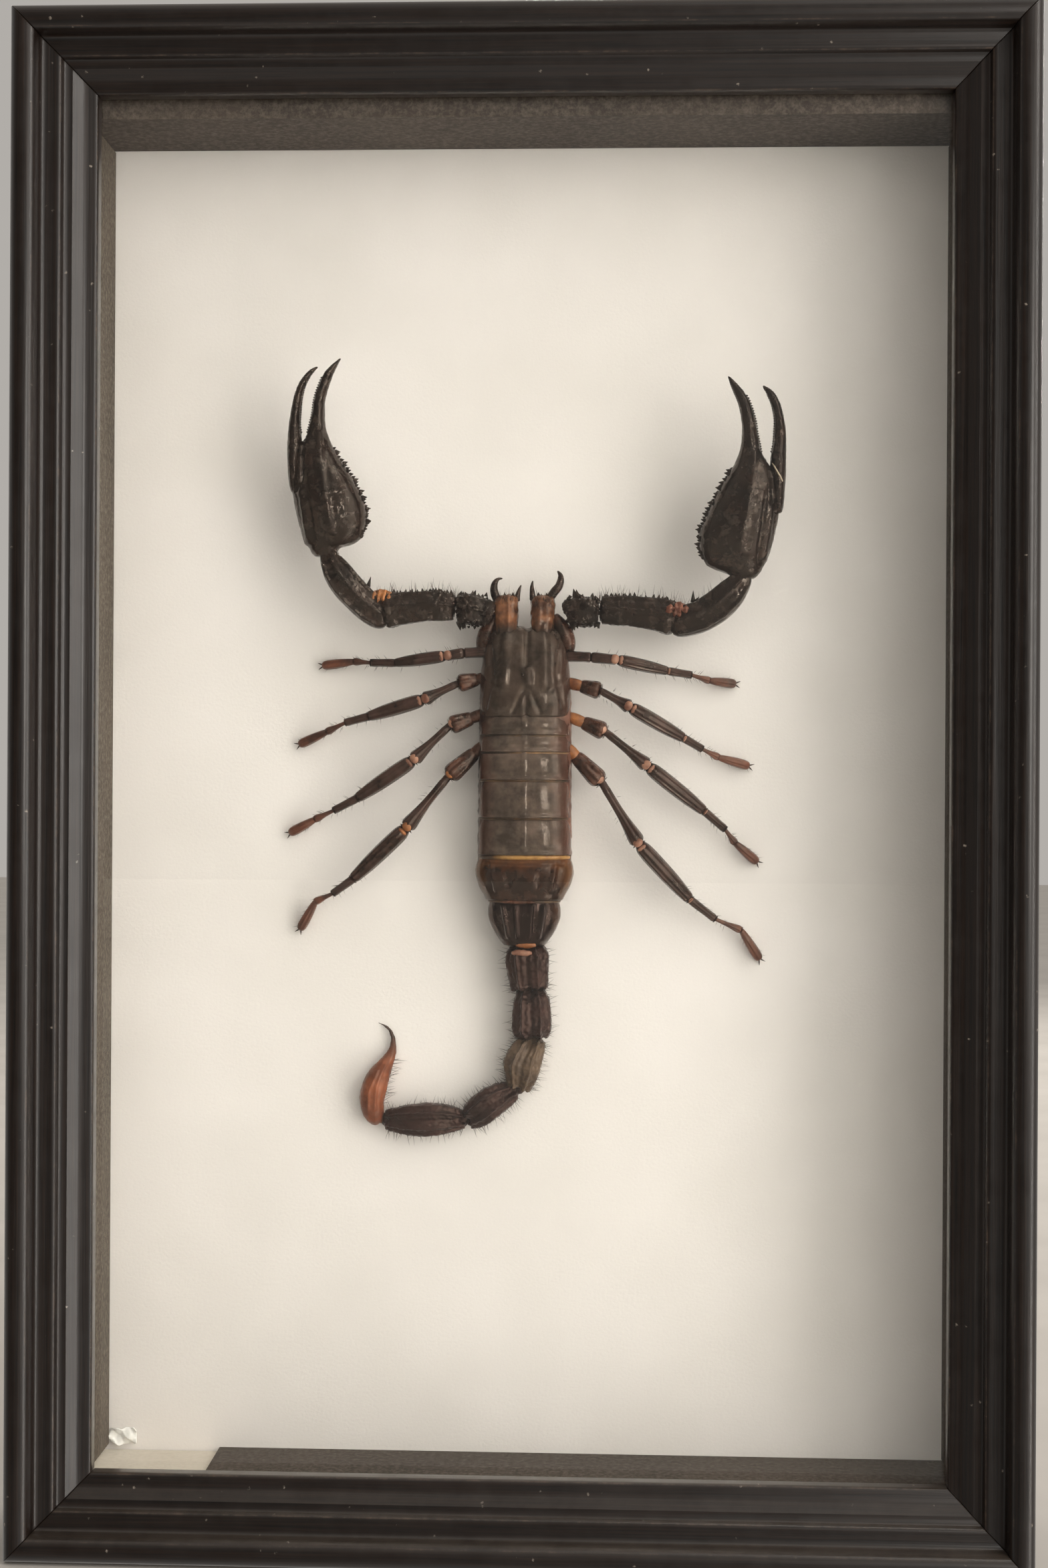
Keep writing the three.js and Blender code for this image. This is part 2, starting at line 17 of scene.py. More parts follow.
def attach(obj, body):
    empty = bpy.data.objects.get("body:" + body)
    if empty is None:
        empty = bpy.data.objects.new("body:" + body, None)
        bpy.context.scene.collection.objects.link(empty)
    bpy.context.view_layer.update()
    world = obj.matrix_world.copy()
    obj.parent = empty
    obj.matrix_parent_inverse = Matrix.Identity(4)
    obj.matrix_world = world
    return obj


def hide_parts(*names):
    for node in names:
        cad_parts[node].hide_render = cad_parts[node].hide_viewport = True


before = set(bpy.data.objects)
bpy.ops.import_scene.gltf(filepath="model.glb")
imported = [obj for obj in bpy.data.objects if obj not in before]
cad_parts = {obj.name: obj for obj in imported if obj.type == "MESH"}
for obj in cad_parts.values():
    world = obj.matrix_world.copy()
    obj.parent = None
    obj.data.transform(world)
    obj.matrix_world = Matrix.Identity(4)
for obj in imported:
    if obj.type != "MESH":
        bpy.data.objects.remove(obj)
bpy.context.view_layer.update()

MM = 0.001

# %% [markdown]
# ## Camera
# The photograph was taken straight on, a little to the right of the middle and with a slight roll.
# The place and lens were worked out from the frame's corners, so the render lies on the photograph.

# %% Camera at the photograph's viewpoint
YAW, PITCH, ROLL = (math.radians(angle) for angle in (2.479, -0.012, 0.322))
CAMERA_PLACE = (0.01953, -0.44559, 0.15257)
LENS = 50.54

ahead = Vector((-math.sin(YAW) * math.cos(PITCH), math.cos(YAW) * math.cos(PITCH), math.sin(PITCH)))
level = Vector((math.cos(YAW), math.sin(YAW), 0))
upright = level.cross(ahead)
across = level * math.cos(ROLL) + upright * math.sin(ROLL)
over = upright * math.cos(ROLL) - level * math.sin(ROLL)
bpy.ops.object.camera_add()
camera = bpy.context.object
camera.matrix_world = Matrix.Translation(CAMERA_PLACE) @ Matrix((across, over, -ahead)).transposed().to_4x4()
camera.data.lens = LENS
camera.data.sensor_width = 36
bpy.context.scene.camera = camera
bpy.context.scene.view_settings.view_transform = "Standard"
print("camera at", CAMERA_PLACE)

# %% [markdown]
# ## Light and floor
# The card shows soft shadows that fall to the left, so the main softbox stands to the right of the camera.
# A second, narrow lamp nearer the camera is there for the glints on the plates and claws.
# Lamps are sampled directly and the pane throws no shadow of its own, because light found by chance
# through glass renders as noise. The sky is dimmer behind the camera and the floor
# is left out of reflections, because those two are what the glass mirrors.

# %% Softboxes
WARM_WHITE = (1.0, 0.95, 0.89)


def softbox(name, place, aim, wide, tall, power):
    """A lamp that looks from its place to its aim, in nearly white light."""
    bpy.ops.object.light_add(type="AREA", location=place)
    lamp = bpy.context.object
    lamp.name = name
    lamp.rotation_euler = (Vector(aim) - Vector(place)).to_track_quat("-Z", "Y").to_euler()
    lamp.data.shape = "RECTANGLE"
    lamp.data.size, lamp.data.size_y = wide, tall
    lamp.data.energy = power
    lamp.data.color = WARM_WHITE
    lamp.data.cycles.use_multiple_importance_sampling = False
    return lamp


MIDDLE = (0, 0, 0.152)
softbox("window_right", (0.90, -0.70, 0.33), MIDDLE, 0.44, 4.0, 14.0)
glint = softbox("lamp_right", (0.41, -0.92, 0.27), MIDDLE, 0.12, 0.36, 1.35)
glint.visible_diffuse = False
softbox("softbox_top", (0.3, -0.5, 0.95), MIDDLE, 0.6, 0.4, 0.3)
softbox("softbox_back", (0.3, 0.9, 0.7), MIDDLE, 0.7, 0.7, 4)
fill = softbox("softbox_front", (-0.1, -1.2, 0.5), MIDDLE, 0.8, 0.8, 1.0)
fill.visible_glossy = False

# %% Sky and floor
sky = bpy.data.worlds.new("studio")
bpy.context.scene.world = sky
sky.use_nodes = True
sky.cycles.sampling_method = "NONE"
wires = sky.node_tree
looking = wires.nodes.new("ShaderNodeTexCoord")
away = wires.nodes.new("ShaderNodeVectorMath")
away.operation = "DOT_PRODUCT"
away.inputs[1].default_value = (0.5, 0.866, 0)
fall = wires.nodes.new("ShaderNodeMapRange")
for limit, value in {"From Min": -1.0, "From Max": -0.5, "To Min": 0.05, "To Max": 0.44}.items():
    fall.inputs[limit].default_value = value
wires.links.new(looking.outputs["Generated"], away.inputs[0])
wires.links.new(away.outputs["Value"], fall.inputs["Value"])
wires.links.new(fall.outputs[0], wires.nodes["Background"].inputs["Strength"])
wires.nodes["Background"].inputs["Color"].default_value = (*WARM_WHITE, 1)

bpy.ops.object.select_all(action="DESELECT")
bpy.ops.mesh.primitive_plane_add(size=6, location=(0, 0, -0.0003))
floor = bpy.context.object
floor.name = "floor"
floor.visible_glossy = False
floor.visible_shadow = False
print("stage:", floor.name, sky.name)

# %% [markdown]
# ## How the materials are written
# Colours are the sRGB hex values that a picture editor shows, turned into Blender's linear light.
# One small function adds a node, sets it and wires it, so a material reads as a list of what it is made of.
# Object coordinates are in metres: a pattern of a given size in millimetres has the scale 1000 / size.

# %% Colour and node helpers
def linear(code):
    """An sRGB hex colour as linear red, green, blue and alpha."""
    shares = [int(code[i : i + 2], 16) / 255 for i in (1, 3, 5)]
    return [s / 12.92 if s <= 0.04045 else ((s + 0.055) / 1.055) ** 2.4 for s in shares] + [1.0]


def add(material, kind, inputs=None, stops=None, **settings):
    """One shader node: settings are its own, inputs are values or sockets, stops are a ramp's colours."""
    tree = material.node_tree
    made = tree.nodes.new("ShaderNode" + kind)
    for key, value in settings.items():
        setattr(made, key, value)
    for key, value in (inputs or {}).items():
        if isinstance(value, bpy.types.NodeSocket):
            tree.links.new(value, made.inputs[key])
        else:
            made.inputs[key].default_value = value
    for k, (where, colour) in enumerate(stops or ()):
        steps = made.color_ramp.elements
        step = steps[k] if k < 2 else steps.new(where)
        step.position, step.color = where, colour
    return made


def new_material(name):
    """An empty material, its object coordinates and its shader."""
    made = bpy.data.materials.new(name)
    made.use_nodes = True
    place = add(made, "TexCoord").outputs["Object"]
    return made, place, made.node_tree.nodes["Principled BSDF"]


def wire(material, shader, **sockets):
    """Links sockets, or sets values, on the shader; underscores stand for spaces."""
    for key, value in sockets.items():
        socket = shader.inputs[key.replace("_", " ")]
        if isinstance(value, bpy.types.NodeSocket):
            material.node_tree.links.new(value, socket)
        else:
            socket.default_value = value


# %% [markdown]
# ## Dried cuticle
# A scorpion's shell is chitin: dark, waxy and hard, set with granules like fine shagreen.
# Old museum shells keep a gloss on the high spots and gather dust in the low ones.
# The same recipe, with other colours and grain sizes, serves claws, plates, legs and tail.

# %% The recipe for shell
def shell(name, deep, warm, gloss, grain, lift, fades=(), dust=0.18, sheen="#f6e2d2"):
    """Cuticle that drifts from deep to warm pigment, with granules of the given size in millimetres.
    Each fade is an axis, two distances in millimetres and the colour that it ends in; a fade is either a real
    change of pigment or painted shade on the side away from the light."""
    made, place, shader = new_material(name)
    patches = add(made, "TexNoise", {"Vector": place, "Scale": 230, "Detail": 3, "Roughness": 0.65})
    pigment = add(made, "ValToRGB", {"Fac": patches.outputs["Fac"]},
                  stops=[(0.36, linear(deep)), (0.7, linear(warm))]).outputs["Color"]
    for axis, start, end, colour in fades:
        split = add(made, "SeparateXYZ", {0: place})
        reach = split.outputs[axis[0]]
        if axis == "X both ways":
            reach = add(made, "Math", {0: reach}, operation="ABSOLUTE").outputs[0]
        blur = add(made, "Math", {0: patches.outputs["Fac"], 1: 0.004, 2: -0.002}, operation="MULTIPLY_ADD")
        reach = add(made, "Math", {0: reach, 1: blur.outputs[0]}, operation="ADD").outputs[0]
        share = add(made, "MapRange", {"Value": reach, "From Min": start * MM, "From Max": end * MM})
        pigment = add(made, "Mix", {0: share.outputs[0], 6: pigment, 7: linear(colour)},
                      data_type="RGBA").outputs[2]
    film = add(made, "TexNoise", {"Vector": place, "Scale": 520, "Detail": 3, "Roughness": 0.7})
    grey = add(made, "MapRange", {"Value": film.outputs["Fac"], "From Min": 0.5, "From Max": 0.8,
                                  "To Max": dust})
    coat = add(made, "Mix", {0: grey.outputs[0], 6: pigment, 7: linear("#85796d")}, data_type="RGBA")
    cells = add(made, "TexVoronoi", {"Vector": place, "Scale": 1000 / grain, "Randomness": 0.9})
    granules = add(made, "Bump", {"Height": cells.outputs["Distance"], "Strength": 0.22,
                                  "Distance": lift * MM}, invert=True)
    folds = add(made, "TexNoise", {"Vector": place, "Scale": 500, "Detail": 2})
    skin = add(made, "Bump", {"Height": folds.outputs["Fac"], "Strength": 0.22, "Distance": 0.12 * MM,
                              "Normal": granules.outputs["Normal"]})
    rough = add(made, "MapRange", {"Value": film.outputs["Fac"], "From Min": 0.3, "From Max": 0.75,
                                   "To Min": gloss - 0.04, "To Max": gloss + 0.1})
    wire(made, shader, Base_Color=coat.outputs[2], Roughness=rough.outputs[0],
         Normal=skin.outputs["Normal"], IOR=1.57, Specular_Tint=linear(sheen))
    return made


# %% Shell materials
# Claws and arms: nearly black, and glossy between coarse granules.
claw_shell = shell("black_granular_cuticle", "#16100d", "#2c201a", 0.12, 0.8, 0.2, dust=0.16)

# Back plates: grey-brown and waxy, warming to red-brown at their sides.
plate_shell = shell("grey_brown_plate_cuticle", "#2a211b", "#4b3e35", 0.12, 0.5, 0.07,
                    [("X both ways", 5.6, 10, "#3a231a")])
tergite_shell = shell("grey_back_plate_cuticle", "#3a312a", "#63544a", 0.11, 0.5, 0.07,
                      [("X both ways", 5.4, 9.4, "#4c2f25")])
rear_shell = shell("brown_rear_plate_cuticle", "#120a08", "#3a2217", 0.1, 0.8, 0.14,
                   [("X both ways", 7.0, 9.8, "#5a3c26"), ("Z", 135.2, 138.4, "#6d4222")], dust=0.08)
last_shell = shell("black_rear_plate_cuticle", "#0e0807", "#1f1412", 0.12, 0.8, 0.16,
                   [("X both ways", 5.6, 7.8, "#3f2a1e")], dust=0.06, sheen="#e3bfae")

# Flanks and plate margins: thin skin, duller than the plates, in red-brown and amber. The flank darkens
# towards the left side: that is painted shade, since the light falls from the right.
flank_skin = shell("red_brown_flank_membrane", "#46291f", "#80594a", 0.34, 0.4, 0.1,
                   [("X", 4, -5, "#2c1a14")])
# The amber and tan margins fade to dark brown towards the left: painted shade, since the light falls from the
# right.
plate_edge = shell("amber_plate_margin", "#8a6030", "#c99a58", 0.36, 0.4, 0.03, [("X", -2, -7, "#33231a")])
tan_edge = shell("tan_plate_margin", "#4a3626", "#8c6a48", 0.36, 0.4, 0.03, [("X", 2, -3, "#2c221c")])
dull_edge = shell("brown_plate_margin", "#1e1713", "#5a4026", 0.38, 0.4, 0.03)

# Jaws: red-brown stubs with black fangs. They darken towards the shield: that is painted shade, where they go
# in under its edge.
jaw_shell = shell("red_brown_jaw_cuticle", "#331d14", "#8a5a3c", 0.15, 0.6, 0.14,
                  [("Z", 186.4, 183.6, "#2c1f19")], dust=0.12)
fang_shell = shell("black_fang_cuticle", "#140c09", "#33201a", 0.25, 0.5, 0.04, dust=0.05)

# Legs: dark and satin, redder at the hip and the foot.
leg_shell = shell("dark_leg_cuticle", "#241610", "#45302a", 0.17, 0.45, 0.04, dust=0.06)
hip_shell = shell("red_brown_hip_cuticle", "#1f110b", "#5a3526", 0.26, 0.45, 0.1, dust=0.06)
foot_shell = shell("red_foot_cuticle", "#3a1f17", "#734432", 0.34, 0.4, 0.06)

# Joint membranes: dry skin, paler and warmer than the shell that it joins.
joint_skin = shell("orange_joint_membrane", "#5a2f18", "#b0703f", 0.3, 0.5, 0.15, dust=0.08)
pink_skin = shell("pink_brown_joint_membrane", "#5c3325", "#b4866e", 0.3, 0.5, 0.15, dust=0.08)
red_skin = shell("red_elbow_membrane", "#3c1d14", "#8a5340", 0.24, 0.5, 0.15, dust=0.08)
suture_skin = shell("pale_suture_membrane", "#8a7a68", "#b9a994", 0.4, 0.5, 0.03)

# Tail: dull and dark with a reddish shine, one paler ring and an orange sting with a dark tip.
tail_shell = shell("dark_tail_cuticle", "#1a0c0a", "#321c18", 0.3, 0.7, 0.2, dust=0.06, sheen="#e3bfae")
pale_tail_shell = shell("olive_tail_cuticle", "#3a2b20", "#614c38", 0.36, 0.7, 0.2, dust=0.1)
sting_shell = shell("orange_sting_cuticle", "#5c2b16", "#944f2d", 0.32, 0.7, 0.12,
                    [("Z", 95, 99.5, "#33201a")], dust=0.06)
hair = shell("brown_bristle", "#2a1c13", "#4a3424", 0.4, 0.5, 0.02, dust=0)
print("shell materials:", len(bpy.data.materials))

# %% [markdown]
# ## Wood, paper, board, glass and steel
# The frame is a softwood moulding, stained nearly black and sealed with a satin lacquer.
# Light catches its beads, a little stain is worn from the sharp edges, and pale dust lies on it.
# The rest of the box is paper and board, which scatter light and show fibres and dust.

# %% Frame moulding
def moulding(name, length_axis):
    """Black-brown stained softwood with satin lacquer, its grain running along one axis."""
    made, place, shader = new_material(name)
    # Grain lines are half a millimetre wide and run for tens of millimetres.
    stretch = [1000 / 0.5] * 3
    stretch["XYZ".index(length_axis)] = 1000 / 28
    run = add(made, "Mapping", {"Vector": place, "Scale": stretch}).outputs[0]
    grain = add(made, "TexNoise", {"Vector": run, "Scale": 1.0, "Detail": 5, "Roughness": 0.6})
    stain = add(made, "ValToRGB", {"Fac": grain.outputs["Fac"]},
                stops=[(0.3, linear("#0f0906")), (0.72, linear("#2a1d15"))])
    # Rubbing has taken stain off the edges that the piece's own map of wear marks.
    rub = add(made, "TexNoise", {"Vector": place, "Scale": 170, "Detail": 4, "Roughness": 0.75})
    worn = add(made, "Attribute", attribute_name="worn")
    bare = add(made, "Math", {0: worn.outputs["Fac"], 1: rub.outputs["Fac"]}, operation="MULTIPLY")
    share = add(made, "MapRange", {"Value": bare.outputs[0], "From Min": 0.38, "From Max": 0.62,
                                   "To Max": 0.6})
    edge = add(made, "Mix", {0: share.outputs[0], 6: stain.outputs["Color"], 7: linear("#6b5544")},
               data_type="RGBA")
    # Dust specks about three millimetres apart, with ragged outlines.
    ragged = add(made, "TexNoise", {"Vector": place, "Scale": 2200, "Detail": 1})
    torn = add(made, "VectorMath", {0: ragged.outputs["Color"], 1: (0.0007, 0.0007, 0.0007), 2: place},
               operation="MULTIPLY_ADD")
    specks = add(made, "TexVoronoi", {"Vector": torn.outputs[0], "Scale": 1000 / 3.2})
    speck = add(made, "MapRange", {"Value": specks.outputs["Distance"], "From Min": 0.03, "From Max": 0.1,
                                   "To Min": 1.0, "To Max": 0.0})
    some = add(made, "MapRange", {"Value": rub.outputs["Fac"], "From Min": 0.52, "From Max": 0.6})
    fleck = add(made, "Math", {0: speck.outputs[0], 1: some.outputs[0]}, operation="MULTIPLY")
    lint = add(made, "Mix", {0: fleck.outputs[0], 6: edge.outputs[2], 7: linear("#a3988c")}, data_type="RGBA")
    # Dust settles where the moulding faces up.
    facing = add(made, "SeparateXYZ", {0: add(made, "NewGeometry").outputs["Normal"]})
    lying = add(made, "MapRange", {"Value": facing.outputs["Z"], "From Min": 0.3, "From Max": 0.95,
                                   "To Max": 0.4})
    drift = add(made, "Math", {0: lying.outputs[0], 1: rub.outputs["Fac"]}, operation="MULTIPLY")
    dusty = add(made, "Mix", {0: drift.outputs[0], 6: lint.outputs[2], 7: linear("#7d7165")},
                data_type="RGBA")
    dull = add(made, "MapRange", {"Value": rub.outputs["Fac"], "From Min": 0.3, "From Max": 0.75,
                                  "To Min": 0.28, "To Max": 0.48})
    pores = add(made, "Bump", {"Height": grain.outputs["Fac"], "Strength": 0.45, "Distance": 0.12 * MM})
    dents = add(made, "TexNoise", {"Vector": place, "Scale": 60, "Detail": 3})
    waves = add(made, "Bump", {"Height": dents.outputs["Fac"], "Strength": 0.1, "Distance": 0.5 * MM,
                               "Normal": pores.outputs["Normal"]})
    wire(made, shader, Base_Color=dusty.outputs[2], Roughness=dull.outputs[0], Normal=waves.outputs["Normal"],
         IOR=1.5, Coat_Weight=0.6, Coat_Roughness=0.22)
    return made


level_moulding = moulding("stained_softwood_level", "X")
upright_moulding = moulding("stained_softwood_upright", "Z")
print("mouldings:", level_moulding.name, upright_moulding.name)


# %% Paper and board
def paper(name, low, high, fibre, dust=None, rough=0.85):
    """Fibrous sheet that drifts between two tones; dust is a colour and the share that it covers."""
    made, place, shader = new_material(name)
    clouds = add(made, "TexNoise", {"Vector": place, "Scale": 22, "Detail": 2, "Roughness": 0.6})
    tone = add(made, "ValToRGB", {"Fac": clouds.outputs["Fac"]},
               stops=[(0.32, linear(low)), (0.66, linear(high))]).outputs["Color"]
    threads = add(made, "TexNoise", {"Vector": place, "Scale": 1000 / fibre, "Detail": 2})
    if dust:
        colour, share = dust
        lay = add(made, "TexNoise", {"Vector": place, "Scale": 900, "Detail": 3, "Roughness": 0.75})
        cover = add(made, "MapRange", {"Value": lay.outputs["Fac"], "From Min": 0.42, "From Max": 0.72,
                                       "To Max": share})
        tone = add(made, "Mix", {0: cover.outputs[0], 6: tone, 7: linear(colour)},
                   data_type="RGBA").outputs[2]
    nap = add(made, "Bump", {"Height": threads.outputs["Fac"], "Strength": 0.5, "Distance": 0.08 * MM})
    dull = add(made, "MapRange", {"Value": threads.outputs["Fac"], "To Min": rough - 0.1,
                                  "To Max": rough + 0.1})
    wire(made, shader, Base_Color=tone, Roughness=dull.outputs[0], Normal=nap.outputs["Normal"], IOR=1.47)
    return made


mount_card = paper("cream_mount_card", "#e9e3de", "#f2ece8", 0.6)
lining_paper = paper("black_brown_lining_paper", "#30261f", "#42372f", 0.5, ("#7c7267", 0.45))
side_paper = paper("dusty_lining_paper", "#382f27", "#4b4036", 0.5, ("#857a6c", 0.6))
pale_board = paper("pale_spacer_board", "#cfc6b8", "#e2dacd", 0.6, ("#b3a898", 0.3))
hardboard = paper("brown_hardboard", "#5e4029", "#7a583b", 0.5, ("#9a7a58", 0.35), 0.6)
studio_floor = paper("pale_studio_floor", "#d9d4cd", "#e2ddd6", 2.0)
floor.data.materials.append(studio_floor)
print("sheets:", mount_card.name, lining_paper.name, side_paper.name, pale_board.name, hardboard.name)

# %% Glass and steel
# Drawn sheet glass, polished by its own flow: clear, with a very slight wave.
sheet_glass, place, shader = new_material("clear_sheet_glass")
ripple = add(sheet_glass, "TexNoise", {"Vector": place, "Scale": 14, "Detail": 1})
wave = add(sheet_glass, "Bump", {"Height": ripple.outputs["Fac"], "Strength": 0.015, "Distance": 0.2 * MM})
wire(sheet_glass, shader, Base_Color=linear("#fbfdfb"), Roughness=0.0, IOR=1.5, Transmission_Weight=1.0,
     Normal=wave.outputs["Normal"])

# Zinc-plated steel strip: grey, with spangle and soft scratches.
zinc, place, shader = new_material("zinc_plated_steel")
spangle = add(zinc, "TexVoronoi", {"Vector": place, "Scale": 1000 / 1.4})
tone = add(zinc, "ValToRGB", {"Fac": spangle.outputs["Color"]},
           stops=[(0.0, linear("#8d9094")), (1.0, linear("#b3b5b6"))])
scratch = add(zinc, "TexNoise", {"Vector": place, "Scale": 700, "Detail": 6})
dull = add(zinc, "MapRange", {"Value": scratch.outputs["Fac"], "To Min": 0.28, "To Max": 0.55})
score = add(zinc, "Bump", {"Height": scratch.outputs["Fac"], "Strength": 0.3, "Distance": 0.05 * MM})
wire(zinc, shader, Base_Color=tone.outputs["Color"], Metallic=1.0, Roughness=dull.outputs[0],
     Normal=score.outputs["Normal"])
print("materials:", len(bpy.data.materials))

# %% [markdown]
# ## CAD nodes that keep their shape
# Flat boards, strips, the pane and the stamped steel are already right in the CAD model.
# They only trade their plain colour for one of the materials above.

# %% Dress the CAD nodes that stay
STAYS = {
    "card": mount_card,
    "glass": sheet_glass,
    "back_panel": hardboard,
    "spacer": pale_board,
    "lining_left": side_paper,
    "lining": lining_paper,
    "hanger": zinc,
    "point": zinc,
}
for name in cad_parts:
    start = next((word for word in STAYS if name.startswith(word)), None)
    if start:
        node_object = bpy.data.objects[name]
        node_object.data.materials.clear()
        node_object.data.materials.append(STAYS[start])
bpy.data.objects["glass"].visible_shadow = False
print("dressed nodes:", [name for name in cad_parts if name.startswith(tuple(STAYS))])

# %% [markdown]
# ## Frame rails
# A picture frame is one length of moulding, sawn at 45 degrees and glued at four corners.
# It is made the same way here: the section is drawn, pulled out along the rail and cut with bisect.
# A rounder section than the CAD's lets the beads and the cove catch light in smooth lines.

# %% The moulding's section
BACK = 22.0


def bend(start, control, end, steps=8):
    """Points of a curve from start to end that leans to its control point."""
    return [tuple((1 - t) ** 2 * a + 2 * t * (1 - t) * c + t * t * b for a, c, b in zip(start, control, end))
            for t in (k / steps for k in range(1, steps + 1))]


# Each point is a distance in from the rail's outer edge and a height over the back, in millimetres.
SECTION = [(0, 0), (0, 41.6), *bend((0, 41.6), (0, 44), (2.2, 44)),
           *bend((2.2, 44), (5.1, 44), (5.3, 41.2)), *bend((5.3, 41.2), (5.4, 40.3), (6.4, 40.15)),
           (8.3, 40.1), *bend((8.3, 40.1), (9.3, 40.1), (9.6, 39.2)),
           *bend((9.6, 39.2), (9.9, 38.75), (11.3, 38.65)),
           (13.1, 37.45), *bend((13.1, 37.45), (13.5, 37.2), (14.2, 37.05)),
           (15.2, 36.85), *bend((15.2, 36.85), (16, 36.7), (16, 35.9)),
           (16, 34), (10, 34), (10, 0)]
# The edges where handling wears the stain away.
SHARP = [(1.2, 43.6), (4.4, 43.4), (9.2, 39.9), (15.7, 36.5), (0, 0)]
print("section points:", len(SECTION))


# %% Helpers for every new piece
def begin():
    """Back to object mode with nothing selected."""
    if bpy.context.mode != "OBJECT":
        bpy.ops.object.mode_set(mode="OBJECT")
    bpy.ops.object.select_all(action="DESELECT")


def ride(piece, slot, *nodes):
    """Joins a finished piece to the part's body and hides the CAD nodes that it stands for."""
    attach(piece, "root")
    if nodes:
        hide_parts(*nodes)
    print(piece.name, "triangles:", sum(len(face.vertices) - 2 for face in piece.data.polygons))


# %% Draw, pull and mitre each rail
WIDE, TALL = 200, 304
MITRE_GAP = 0.04
ARRIS = 0.12
WEAR_REACH = 0.7


def rail(name, length, turn, place, finish, cad_node):
    """One rail, drawn level with its outer edge at z = 0, mitred, then turned into its place."""
    begin()
    bpy.ops.mesh.primitive_circle_add(vertices=len(SECTION))
    made = bpy.context.object
    made.name = name
    for corner, (u, h) in zip(made.data.vertices, SECTION):
        corner.co = (-length / 2 * MM, (BACK - h) * MM, u * MM)
    bpy.ops.object.mode_set(mode="EDIT")
    bpy.ops.mesh.select_all(action="SELECT")
    bpy.ops.mesh.edge_face_add()
    bpy.ops.mesh.extrude_region_move(TRANSFORM_OT_translate={"value": (length * MM, 0, 0)})
    for end in (-1, 1):
        bpy.ops.mesh.select_all(action="SELECT")
        bpy.ops.mesh.bisect(plane_co=(end * (length / 2 - MITRE_GAP) * MM, 0, 0), plane_no=(end, 0, 1),
                            clear_outer=True, use_fill=True)
    bpy.ops.mesh.select_all(action="DESELECT")
    skin = bmesh.from_edit_mesh(made.data)
    for edge in skin.edges:
        edge.select = any(abs(face.normal.x) > 0.5 for face in edge.link_faces)
    bpy.ops.mesh.bevel(offset=ARRIS * MM, segments=1)
    bpy.ops.mesh.select_all(action="SELECT")
    bpy.ops.mesh.normals_make_consistent(inside=False)
    bpy.ops.object.mode_set(mode="OBJECT")
    worn = made.data.attributes.new("worn", "FLOAT", "POINT")
    for corner, mark in zip(made.data.vertices, worn.data):
        here = (corner.co.z / MM, BACK - corner.co.y / MM)
        mark.value = max(0.0, 1 - min(math.dist(here, edge) for edge in SHARP) / WEAR_REACH)
    made.rotation_euler = (0, turn, 0)
    made.location = Vector(place) * MM
    bpy.ops.object.transform_apply(location=True, rotation=True, scale=True)
    bpy.ops.object.shade_smooth_by_angle(angle=math.radians(28))
    made.data.materials.append(finish)
    ride(made, "frame_wood", cad_node)


rail("rail_bottom", WIDE, 0, (0, 0, 0), level_moulding, "frame_bottom")
rail("rail_top", WIDE, math.pi, (0, 0, TALL), level_moulding, "frame_top")
rail("rail_left", TALL, math.pi / 2, (-WIDE / 2, 0, TALL / 2), upright_moulding, "frame_left")
rail("rail_right", TALL, -math.pi / 2, (WIDE / 2, 0, TALL / 2), upright_moulding, "frame_right")

# %% [markdown]
# ## Lofts, strokes and thorns
# Every limb of a scorpion is a row of stiff tubes. A tube is easiest as a loft: rings are laid along a
# path and bridged, and Subdivision rounds the result. Keels, furrows and eye mounds are then pushed up
# or down along a path, as a sculpting brush would, and granules come from a Displace modifier.

# %% Places and smooth curves
CARD_FRONT = 13.2


def spot(x, z, lift):
    """A place over the card: x and z as in the picture, lift towards the viewer, in millimetres."""
    return Vector((x, CARD_FRONT - lift, z)) * MM


def fair(rows, steps=3):
    """More rows between the given ones, on a smooth curve through them."""
    rows = np.array(rows, float)
    padded = np.vstack([2 * rows[0] - rows[1], rows, 2 * rows[-1] - rows[-2]])
    out = []
    for a, b, c, d in zip(padded, padded[1:], padded[2:], padded[3:]):
        for t in (k / steps for k in range(steps)):
            out.append(0.5 * (2 * b + (c - a) * t + (2 * a - 5 * b + 4 * c - d) * t * t
                              + (3 * b - a - 3 * c + d) * t ** 3))
    return [tuple(row) for row in [*out, rows[-1]]]


# %% Modifiers and lofts
def apply_modifier(piece, kind, **settings):
    """Adds one modifier and applies it."""
    begin()
    piece.select_set(True)
    bpy.context.view_layer.objects.active = piece
    made = piece.modifiers.new(kind.lower(), kind)
    for key, value in settings.items():
        setattr(made, key, value)
    bpy.ops.object.modifier_apply(modifier=made.name)


